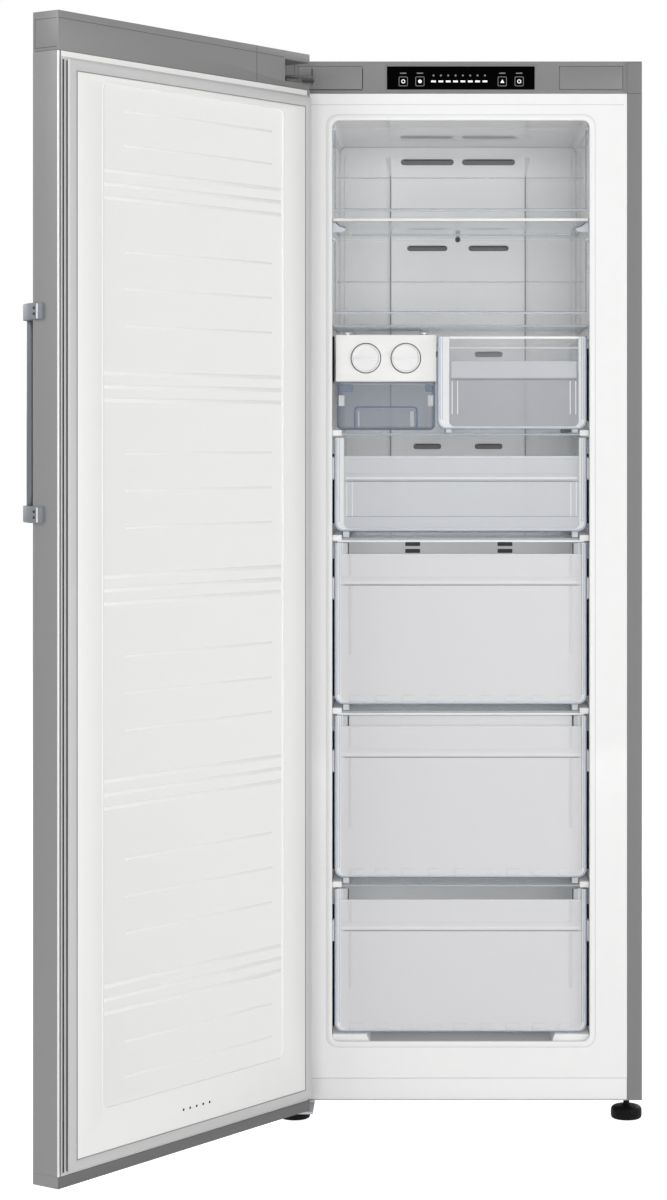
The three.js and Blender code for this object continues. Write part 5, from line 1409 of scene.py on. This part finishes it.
# ---- Drawers ----
@dataclass
class Drawer(Assembly):
    """One drawer, in the cabinet's own places."""

    node: str = ""
    floor: float = 0.0
    rim: float = 0.0
    front_top: float = 0.0
    x: Span = (-208.0, 208.0)
    face: Paint = Paint.FROST
    shell: Paint = Paint.MILK
    depth: float = 262.0
    rear_drop: float = 0.0
    posts: Point = (11.0, 9.0)
    ledge: float = 37.0
    undercut: float = 13.6
    window: bool = False
    front: float = 20.0
    corner: float = 14.0
    runners: bool = True
    runner_lift: float = 0.0
    line_insets: Point = (5.0, 14.0)
    crease_insets: Point = (5.6, 8.4)

    def __post_init__(self) -> None:
        """Works out the places that follow from the others."""
        self.rear = self.front + self.depth
        self.between = (self.x[0] + self.posts[0] - 0.6, self.x[1] - self.posts[1] + 0.6)
        self.ledge_top = self.front_top - self.ledge
        self.groove = self.ledge_top - self.undercut

    def build(self) -> None:
        """Builds the drawer."""
        drop = self.rim - self.front_top
        y, z = (self.front + 6.0, self.rear), (self.floor, self.rim)
        tub = Form().tub(grown(self.x, -5.0), y, z, 9.0, drop, self.rear_drop)
        self.piece("tub", tub, self.shell, self.node)
        self._front()
        self._glint()
        self._front_rim()
        self._frame()
        self._rims()
        self.dress()

    def piece(self, name: str, form: Form, paint: Paint, stands_for: str = "") -> None:
        """Adds a piece named after the drawer."""
        self.add(f"{self.node}_{name}", form, paint, stands_for)

    def in_front(self, low: float, high: float) -> Span:
        """A span in depth, measured from the drawer's front."""
        return self.front + low, self.front + high

    def dress(self) -> None:
        """Adds the front's fine lines."""
        form, y, low = Form(), self.in_front(-0.1, 0.9), self.floor + 22.7
        for x in [x for inset in self.line_insets for x in grown(self.between, -inset)]:
            form.block(band(x, 1.8), y, (low, self.groove - 2.0), 0.4)
        self.piece("lines", form, Paint.POST)
        if not self.window:
            across = Form().block(grown(self.between, -3.0), y, band(low, 1.2), 0.3)
            self.piece("low_line", across, Paint.FLAP_LINE)

    def _front(self) -> None:
        """The drawer's front with its sloping ledge, and a line of painted shade under the ledge."""
        f, low, ledge, groove = self.front, self.floor + 3.0, self.ledge_top, self.groove
        lower = [
            (f + 0.6, low), (f + 0.6, groove - 0.8), (f + 2.6, groove - 0.4), (f + 2.6, groove + 0.6),
            (f, groove + 1.0), (f, groove + 2.6), (f + 3.1, ledge), (f + 5.6, ledge),
            (f + 4.6, groove), (f + 3.1, groove - 2.4), (f + 3.1, low),
        ]
        start = ledge if self.window else ledge + 0.02
        near, far = self.in_front(3.1, 5.6)
        top = self.front_top - 0.4
        upper = [(near, start), (near, top), (far, top), (far, start)]
        panel = Form().plate(Axis.X, lower, self.between)
        if self.window:
            self.piece("window", Form().plate(Axis.X, upper, self.between, 0.4), Paint.CLEAR_THIN)
        else:
            panel.plate(Axis.X, upper, self.between)
        self.piece("front", panel, self.face)
        across, upright = grown(self.between, -6.0), (groove - 0.3, groove + 0.7)
        # A thin grey strip in the groove under the ledge: painted shade.
        self.piece("undercut", Form().block(across, self.in_front(1.6, 2.7), upright, 0.2), Paint.SEAM)

    def _glint(self) -> None:
        """A painted highlight: a paler strip on the sloping ledge."""
        start = self.groove + 2.6
        ends = (0.02, 0.98) if self.window else (0.12, 0.36)
        y = [self.front - 0.3 + 3.1 * part for part in ends]
        z = [start + (self.ledge_top - start) * part for part in ends]
        slope = [(y[0], z[0]), (y[1], z[1]), (y[1] + 0.8, z[1]), (y[0] + 0.8, z[0])]
        form = Form().plate(Axis.X, slope, grown(self.between, -4.0))
        self.piece("glint", form, Paint.MIST_PALE if self.window else Paint.POST)

    def _front_rim(self) -> None:
        """The rim along the front's top, and the window's frame, both real, in a pale finish that also
        paints their highlight.
        """
        top = self.front_top
        form = Form().block(self.between, self.in_front(2.4, 6.2), (top - 1.6, top + 0.5), 0.8)
        if self.window:
            form.block(self.between, self.in_front(-1.0, 6.0), (top - 4.2, top + 0.3), 1.2)
            form.block(self.between, self.in_front(2.2, 3.0), band(top - 18.9, 1.2), 0.3)
        self.piece("front_rim", form, Paint.WHITE if self.window else Paint.POST)

    def _u_shape(self, inset: float, posts: Point, foot: float) -> list[Point]:
        """A U with rounded lower corners, as an outline.

        Args:
            inset: How far it stays inside the front's outline.
            posts: Widths of its left and right post.
            foot: Height of its lower bar.

        Returns:
            The outline across and upright.
        """
        across = grown(self.x, -inset)
        low, radius = self.floor - 1.8 + inset, self.corner - inset
        outer = rounded(across, (low, self.rim), radius, 8, 0.0)
        hollow = (across[0] + posts[0], across[1] - posts[1])
        inner = rounded(hollow, (low + foot, self.rim), max(radius - foot, 2.0), 8, 0.0)
        return [outer[-1], *outer[:-1], *reversed([inner[-1], *inner[:-1]])]

    def _frame(self) -> None:
        """The clear posts, their creases and their tinted edge."""
        posts = Form().plate(Axis.Y, self._u_shape(0.0, self.posts, 5.0), self.in_front(0.3, 5.8), 1.6)
        self.piece("frame", posts, Paint.POST)
        creases = Form()
        for inset in self.crease_insets:
            for x in grown(self.x, -inset):
                upright = (self.floor + 14.0, self.rim - 2.0)
                creases.block(band(x, 0.9), self.in_front(-0.1, 1.0), upright, 0.2)
        self.piece("creases", creases, Paint.HAZE)
        haze = Form().plate(Axis.Y, self._u_shape(0.3, (3.6, 3.6), 3.2), self.in_front(-0.1, 1.2), 0.5)
        self.piece("haze", haze, Paint.HAZE)
        edge = Form().plate(Axis.Y, self._u_shape(0.0, (1.3, 1.3), 1.1), self.in_front(-0.3, 3.0), 0.4)
        self.piece("edge", edge, Paint.BLUE_EDGE)

    def _rims(self) -> None:
        """The side rims, the runners underneath, and grey strips of painted shade beside the runners."""
        rim, feet, shade = Form(), Form(), Form()
        along_rim, along = (self.front + 6.0, self.rear - 2.0), (self.front + 6.5, self.rear - 12.0)
        low, high = self.floor + self.runner_lift, (self.rim - 3.2, self.rim)
        for way, edge in ((1.0, self.x[0]), (-1.0, self.x[1])):
            rim.block((edge + way * 0.6, edge + way * 6.0), along_rim, high, 0.9)
            feet.block((edge + way * 14.0, edge + way * 24.0), along, (low - 12.0, low - 0.2), 1.0)
            shade.block((edge + way * 24.0, edge + way * 25.2), along, (low - 11.6, low - 0.2), 0.3)
        self.piece("rim", rim, Paint.CLEAR_EDGE)
        if self.runners:
            self.piece("runners", feet, Paint.POST)
            self.piece("runner_edges", shade, Paint.SEAM)


@dataclass
class LargeDrawer(Drawer):
    """A large frosted drawer, with bumps at its foot and ears above its front."""

    rear_drop: float = 28.0
    lip: bool = False
    bump_pitch: float = 43.0
    strip: float = 182.0

    def dress(self) -> None:
        """Adds the bumps, the upright strips, the ears with dark lines of painted shade beside them, and
        the lip behind the front.
        """
        bumps, strips = Form(), Form()
        for place in range(-4, 5):
            across = band(place * self.bump_pitch, 22.0)
            bumps.block(across, self.in_front(-0.3, 1.0), (self.floor + 3.0, self.floor + 13.0), 0.9, 4)
        low = self.floor + 0.3 * (self.rim - self.floor)
        for side in SIDES:
            across = band(side * self.strip, 4.6)
            strips.block(across, self.in_front(-0.1, 0.9), (low, self.groove - 2.0), 0.5)
            strips.block(across, self.in_front(2.6, 3.4), (self.ledge_top + 1.0, self.front_top - 1.0), 0.3)
        self.piece("bumps", bumps, self.face)
        self.piece("strips", strips, Paint.STRIP)
        y, upright = self.in_front(6.4, 9.0), (self.front_top - 3.0, self.rim - 0.6)
        self.piece("ears", Form().blocks(186.6, 199.0, y, upright, 0.9), Paint.MIST_PALE)
        self.piece("ear_lines", Form().blocks(184.4, 185.9, y, upright, 0.4), Paint.GAP)
        if self.lip:
            lip = Form().block((-184.0, 184.0), self.in_front(9.6, 10.8), upright, 0.5)
            self.piece("lip", lip, Paint.FROST)


@dataclass
class Drawers(Assembly):
    """All drawers, from the top down. A large one is given by its floor, its rim and its front's top.

    Of the large ones the second has a lip, and the third has no runners, as the floor's steps stand where
    they would be.
    """

    large: tuple[Triple, ...] = ((684.8, 949.6, 930.2), (399.2, 664.6, 646.3), (144.8, 378.6, 360.4))

    def build(self) -> None:
        """Builds every drawer."""
        clear = {"shell": Paint.CLEAR, "depth": 398.6}
        Drawer(
            self.shop, "small_drawer_body", "small_drawer", 1138.3, 1289.5, 1289.5, (-38.4, 208.0),
            Paint.MIST, posts=(20.0, 14.0), ledge=40.5, undercut=30.6, window=True, runner_lift=4.4,
            **clear,
        ).build()
        Drawer(
            self.shop, "shallow_drawer_body", "shallow_drawer", 969.8, 1122.6, 1091.5, face=Paint.MIST_PALE,
            posts=(16.0, 13.0), ledge=27.0, **clear,
        ).build()
        for number, heights in enumerate(self.large, 1):
            body, node = f"large_drawer_body_{number}", f"large_drawer_{number}"
            LargeDrawer(self.shop, body, node, *heights, runners=number < 3, lip=number == 2).build()


# ---- Ice maker ----
@dataclass
class IceMaker(Assembly):
    """The ice box on its rail, its knobs and trays."""

    body: str = "ice_maker"
    middle: float = -123.65
    width: float = 166.3
    front: float = 50.0
    knob: Point = (33.1, 1254.35)

    def build(self) -> None:
        """Builds the ice maker."""
        # The housing takes the paler copy of the white plastic: painted light.
        self.soften("ice_maker_housing", 0.9, Paint.DOOR_WHITE)
        self._rail()
        for side, name in HANDS:
            self._knob((self.middle + side * self.knob[0], self.knob[1]), name)
            self.soften(f"ice_tray_{name}", 0.5, Paint.CLEAR)

    def _rail(self) -> None:
        """The rail that the housing slides on, which stays on the cabinet."""
        form = Form()
        y = (self.front + 2.5, self.front + 247.5)
        for side in SIDES:
            middle = self.middle + side * (self.width / 2.0 - 20.0)
            form.block(band(middle, 16.0), y, (1302.9, 1304.6), 0.3)
            for way in SIDES:
                form.block(band(middle + way * 7.2, 1.6), y, (1293.3, 1303.2), 0.3)
                form.block(band(middle + way * 4.9, 5.6), y, (1293.3, 1294.7), 0.3)
        form.block(band(self.middle, self.width - 28.0), (y[1] - 16.0, y[1]), (1302.4, 1304.4), 0.3)
        self.add("ice_maker_rail_channels", form, Paint.CLEAR_THIN, "ice_maker_rail", "cabinet")

    def _knob(self, centre: Point, name: str) -> None:
        """One knob with its grip, and a dark ring of painted shade in the gap round it.

        Args:
            centre: The knob's middle.
            name: The knob's name.
        """
        rear, face = self.front - 0.2, self.front - 6.3
        profile = [
            (0.0, rear), (23.6, rear), (23.75, face + 1.6), (22.9, face + 0.4), (21.8, face + 0.2),
            (21.2, face + 1.6), (20.2, face + 2.4), (0.0, face + 2.6),
        ]
        form = Form().turned(Axis.Y, centre, profile)
        grip = rounded(band(centre[0], 41.0), band(centre[1] - 1.0, 5.6), 2.6, 4)
        form.plate(Axis.Y, grip, (face, face + 3.0), 0.6)
        form.rod(Axis.Y, centre, (self.front - 0.4, self.front + 5.0), 8.0, sides=32)
        self.add(f"ice_knob_{name}_body", form, Paint.WHITE, f"ice_knob_{name}", f"ice_twist_{name}")
        disc = (band(centre[0], 50.8), band(centre[1], 50.8))
        depth = (self.front - 0.25, self.front + 0.6)
        gap = Form().frame(*disc, (0.0, -1.45), (25.4, 23.95), depth, steps=12)
        self.add(f"ice_knob_{name}_gap", gap, Paint.GAP)


@dataclass
class IceBin(Assembly):
    """The ice bin under the ice maker."""

    body: str = "ice_bin_body"
    middle: float = -123.65
    half: float = 81.45
    z: Span = (1135.6, 1214.3)
    front: float = 50.0
    half_pull: float = 53.0

    def build(self) -> None:
        """Builds the bin with its rims, the recess of its pull with two pale bars of painted highlight in
        it, and its small blocks.
        """
        (low, high), f, x = self.z, self.front, (self.middle - self.half, self.middle + self.half)
        self.add("ice_bin_tub", Form().tub(x, (f, f + 236.0), self.z, 8.0), Paint.SMOKY, "ice_bin")
        pull = (self.middle - self.half_pull, self.middle + self.half_pull)
        inner = rounded(grown(x, -2.0), (low + 2.0, high - 1.2), 7.4, 6, 0.6)
        edges = Form().ring(rounded(x, self.z, 9.0, 6, 1.0), inner, (f - 0.8, f + 1.4), 0.5)
        pull_inner = rounded(grown(pull, -2.4), (low + 1.2, 1172.0), 0.8, 6, 5.4)
        edges.ring(rounded(pull, (low + 1.0, 1174.5), 1.0, 6, 7.0), pull_inner, (f - 0.6, f + 1.6), 0.5)
        self.add("ice_bin_edges", edges, Paint.BLUE_EDGE)
        walls = (low + 2.0, 1171.0)
        recess = Form().block(grown(pull, -3.0), (f + 24.0, f + 26.4), walls, 0.8)
        for wall in (pull[0] + 2.6, pull[1] - 5.0):
            recess.block((wall, wall + 2.4), (f + 1.6, f + 24.0), walls, 0.8)
        self.add("ice_bin_pull", recess, Paint.SMOKY)
        highlight_bars = ((pull[0] + 5.6, pull[0] + 8.4), (pull[1] - 13.0, pull[1] - 6.4))
        self._blocks("pull_bars", highlight_bars, (20.0, 24.4), (low + 5.0, 1167.0), 0.9, Paint.POST)
        lumps = ((x[0] + 3.2, x[0] + 26.0), (x[1] - 16.0, x[1] - 3.2))
        self._blocks("lumps", lumps, (3.0, 30.0), (1199.0, 1211.0), 1.8, Paint.BLUE_EDGE)
        lugs = ((x[0] + 2.8, x[0] + 12.4), (x[1] - 12.0, x[1] - 2.8))
        self._blocks("lugs", lugs, (3.0, 60.0), (1175.0, 1193.0), 1.4, Paint.WHITE)

    def _blocks(
        self, name: str, spans: Sequence[Span], y: Span, z: Span, bevel: float, paint: Paint
    ) -> None:
        """Some blocks of the same depth and height.

        Args:
            name: The piece's name after the bin's.
            spans: Their spans across.
            y: Their depth, from the bin's front.
            z: Their height.
            bevel: Rounding of their edges.
            paint: Their finish.
        """
        form = Form()
        for across in spans:
            form.block(across, (self.front + y[0], self.front + y[1]), z, bevel)
        self.add(f"ice_bin_{name}", form, paint)


# ---- Door ----
@dataclass
class Door(Assembly):
    """Skin, liner, gasket, caps and handle."""

    body: str = "door"
    on_door: ClassVar[bool] = True
    rib: Span = (74.0, 493.0)
    rib_tops: tuple[float, ...] = (1517.0, 1218.0, 917.5, 616.0, 314.0)
    ribs_in_row: int = 3
    rib_pitch: float = 20.0
    dash: Span = (97.0, 446.0)
    dashes: tuple[float, ...] = (1607.7, 1556.3, 224.9, 172.6)
    dash_pitch: float = 55.0
    holes: int = 5
    first_hole: Point = (254.0, 99.3)
    hole_pitch: float = 15.4
    seal: tuple[Span, Span] = ((13.5, 553.5), (72.5, 1655.5))
    bar: Point = (545.0, -50.0)
    bar_ends: Span = (999.0, 1318.0)
    bar_radius: float = 7.0
    brackets: Point = (998.0, 1295.0)
    bracket_height: float = 24.0
    upright_from: ClassVar[float] = 0.5
    arm: tuple[Point, ...] = (
        (581.3, 9.0), (586.2, 9.0), (586.2, -13.5), (577.0, -30.0), (563.0, -49.0), (552.0, -60.0),
        (545.0, -62.2), (537.0, -59.0), (533.5, -52.0), (535.0, -44.0), (541.0, -38.6), (552.0, -38.0),
        (566.0, -27.0), (572.0, -18.0), (574.0, -13.3), (581.3, -13.3),
    )
    fold: tuple[Point, ...] = (
        (0.0, 0.0), (0.0, 3.0), (1.6, 4.4), (1.1, 7.0), (0.3, 9.6), (1.2, 11.8), (3.4, 12.6), (12.6, 12.6),
        (15.4, 11.6), (16.2, 8.8), (14.6, 6.2), (15.4, 4.0), (18.6, 3.4), (20.2, 2.0), (20.2, 0.0),
    )

    def build(self) -> None:
        """Builds the door."""
        self.soften("door_skin", 1.1, Paint.STEEL, self._is_long_upright, 3)
        # The liner, its ribs and its bead take the paler copy of the white plastic: painted light.
        self.soften("door_liner", 1.3, Paint.DOOR_WHITE, segments=3)
        self.soften("door_top_cap", 0.9, Paint.CAP)
        # The bottom cap takes the darker copy of the cap's grey: painted shade.
        self.soften("door_bottom_cap", 0.9, Paint.CAP_LOW)
        self._embossing()
        self._panel_details()
        self._gasket()
        self._edge_lines()
        self._cap_seams()
        self._handle()

    def _is_long_upright(self, edge: bmesh.types.BMEdge) -> bool:
        """Tells whether an edge runs up the door."""
        return abs(edge.verts[0].co.z - edge.verts[1].co.z) > self.upright_from

    def _embossing(self) -> None:
        """The long and short ribs pressed into the door liner."""
        ribs, face = Form(), DOOR.field_face
        for z in [top - i * self.rib_pitch for top in self.rib_tops for i in range(self.ribs_in_row)]:
            ribs.block(self.rib, (face - 0.6, face + 0.8), band(z, 6.0), 0.7)
        dashes = list(self.dashes)
        for upper, lower in zip(self.rib_tops, self.rib_tops[1:]):
            middle = (upper - (self.ribs_in_row - 1) * self.rib_pitch + lower) / 2.0 - 4.0
            dashes += [middle + self.dash_pitch, middle, middle - self.dash_pitch]
        for z in dashes:
            ribs.block(self.dash, (face - 0.6, face + 0.55), band(z, 3.6), 0.5)
        self.add("door_embossing", ribs, Paint.DOOR_WHITE)

    def _panel_details(self) -> None:
        """The bead round the liner's field, and the row of small holes, drawn as black discs of painted
        shade.
        """
        face = DOOR.panel_face
        bead = Form().frame(*DOOR.field, (3.0, -0.4), (15.0, 11.6), (face - 1.2, face + 0.45), 0.5, 8)
        self.add("door_frame_bead", bead, Paint.DOOR_WHITE)
        holes = Form()
        for i in range(self.holes):
            place = (self.first_hole[0] + i * self.hole_pitch, self.first_hole[1])
            holes.rod(Axis.Y, place, (face - 0.5, face + 0.15), 2.0, sides=20)
        self.add("door_vent_holes", holes, Paint.BLACK)

    def _gasket(self) -> None:
        """The gasket's folds, swept round the liner, dark strips of painted shade in them, and a grey ring
        of painted shade in the liner's gap inside.
        """
        base, face = DOOR.rim + 0.3, DOOR.panel_face
        form = Form().sweep([(out, base + y) for out, y in self.fold], *self.seal)
        self.add("door_gasket_profile", form, Paint.RUBBER, "door_gasket")
        folds = Form().block((571.7, 573.9), (base + 1.4, base + 3.4), (56.0, 1672.0), 0.4)
        folds.block((567.6, 569.4), (base + 4.6, base + 6.9), (58.0, 1670.0), 0.4)
        self.add("door_gasket_folds", folds, Paint.GAP)
        gap = Form().frame(*DOOR.panel, (1.3, -0.1), (2.0, 0.8), (face - 0.6, face + 0.2), steps=3)
        self.add("door_liner_gap", gap, Paint.SEAM)

    def _edge_lines(self) -> None:
        """A painted highlight along the skin's bend beside the liner's rim, and the skin's end round the
        bottom cap.
        """
        self.add("door_bend", Form().block((577.9, 581.2), (34.6, 37.25), (50.4, 1684.6), 1.0), Paint.BEND)
        wrap = Form().block((580.9, 581.3), (-12.6, 36.6), (33.4, 50.2), 0.1, 1)
        self.add("bottom_cap_wrap", wrap, Paint.STEEL)

    def _cap_seams(self) -> None:
        """The seams of the top cap, on its inner face and on its end."""
        form, inner, end = Form(), (DOOR.rim - 0.2, DOOR.rim + 0.12), (580.9, 581.15)
        start, line = DOOR.face + 4.0, (1731.4, 1732.2)
        form.block((122.0, 123.0), inner, (DOOR.cap_bottom + 1.0, DOOR.top - 1.0))
        form.block((52.0, DOOR.right - 1.0), inner, line)
        form.block(end, (start, DOOR.rim - 3.0), (1689.4, 1690.4), 0.05, 1)
        form.block(end, (start, start + 1.0), (1690.0, 1732.0), 0.05, 1)
        form.block(end, (start, DOOR.rim - 3.0), line, 0.05, 1)
        self.add("top_cap_seams", form, Paint.SHADOW)

    def _handle(self) -> None:
        """The round bar, its two brackets and their screws."""
        bar = Form().rod(Axis.Z, self.bar, self.bar_ends, self.bar_radius, 1.2, 48)
        self.add("handle_bar_round", bar, Paint.HANDLE, "handle_bar")
        screws, lines = Form(), Form()
        for name, low in zip(("handle_bracket_lower", "handle_bracket_upper"), self.brackets):
            arm = Form().plate(Axis.Z, self.arm, (low, low + self.bracket_height), 0.9)
            self.add(f"{name}_arm", arm, Paint.ARM, name)
            for z in (low + 8.0, low + 16.6):
                screws.rod(Axis.X, (-6.0, z), (585.7, 586.9), 2.3, 0.4)
            upright = (low + 1.0, low + self.bracket_height - 1.0)
            # A pale strip on each bracket's end: a painted highlight.
            lines.block((585.8, 586.6), (-1.1, 1.5), upright, 0.3)
        # The screws are drawn in the same dark grey as the painted gap shade.
        self.add("bracket_screws", screws, Paint.GAP)
        self.add("bracket_lines", lines, Paint.BEND)


# ---- Feet, rollers and machine compartment ----
@dataclass
class Supports(Assembly):
    """Feet, rollers and the machine compartment."""

    foot: Point = (273.6, 30.0)
    ribs: int = 24
    rib_circle: float = 24.6
    disc: tuple[Point, ...] = (
        (0.0, 0.0), (22.5, 0.0), (24.4, 1.2), (25.0, 3.0), (25.0, 15.6), (24.2, 17.6), (21.6, 19.6),
        (18.0, 20.8), (8.0, 21.0), (7.6, 22.4), (5.6, 23.0), (5.0, 24.4), (5.0, 34.4), (0.0, 34.6),
    )

    def build(self) -> None:
        """Builds what the cabinet stands on."""
        for side, name in HANDS:
            self._foot((side * self.foot[0], self.foot[1]), name)
            self.soften(f"roller_{name}", 1.4, Paint.BLACK, segments=3)
        plate = Form().block((250.0, 292.0), (14.0, 46.0), (31.6, 34.6), 0.8)
        self.add("foot_plate", plate, Paint.ZINC)
        self.soften("compressor_cover", 0.25, Paint.ZINC, segments=1)
        self.soften("drip_tray", 1.0, Paint.BLACK)
        self.soften("power_inlet", 0.8, Paint.BLACK)

    def _foot(self, centre: Point, name: str) -> None:
        """One levelling foot with its ribbed rim.

        Args:
            centre: Where its thread stands.
            name: Which foot.
        """
        form = Form().turned(Axis.Z, centre, self.disc)
        for i in range(self.ribs):
            angle = i * 2.0 * math.pi / self.ribs
            out = (self.rib_circle * math.cos(angle), self.rib_circle * math.sin(angle))
            form.rod(Axis.Z, (centre[0] + out[0], centre[1] + out[1]), (4.0, 15.0), 0.9, sides=8)
        self.add(f"foot_{name}_disc", form, Paint.BLACK, f"foot_{name}", f"foot_body_{name}")


# ---- Nodes kept as they are ----
KEPT: dict[Paint, tuple[str, ...]] = {
    Paint.ZINC: ("rear_panel", "base_plate"),
    Paint.FOAM: ("cabinet_foam", "door_foam"),
    Paint.BOARD: ("control_board",),
    Paint.COOL: ("air_duct_cover", "evaporator_cover"),
    Paint.ALUMINIUM: ("evaporator", "defrost_heater"),
    Paint.BLACK: ("fan_motor", "door_bush_upper", "door_bush_lower"),
    Paint.WHITE: ("fan_blade",),
    Paint.ENAMEL: ("compressor",),
}


def main() -> None:
    """Builds the whole scene."""
    logging.basicConfig(level=logging.INFO, format="%(name)s %(message)s")
    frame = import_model()
    shop = Workshop(frame)
    Studio(shop).build()
    for part in (CabinetShell, Fascia, Duct, Shelves, Flaps, Drawers, IceMaker, IceBin, Door, Supports):
        part(shop).build()
    for paint, nodes in KEPT.items():
        for node in nodes:
            shop.keep(node, paint)


if __name__ == "__main__":
    main()
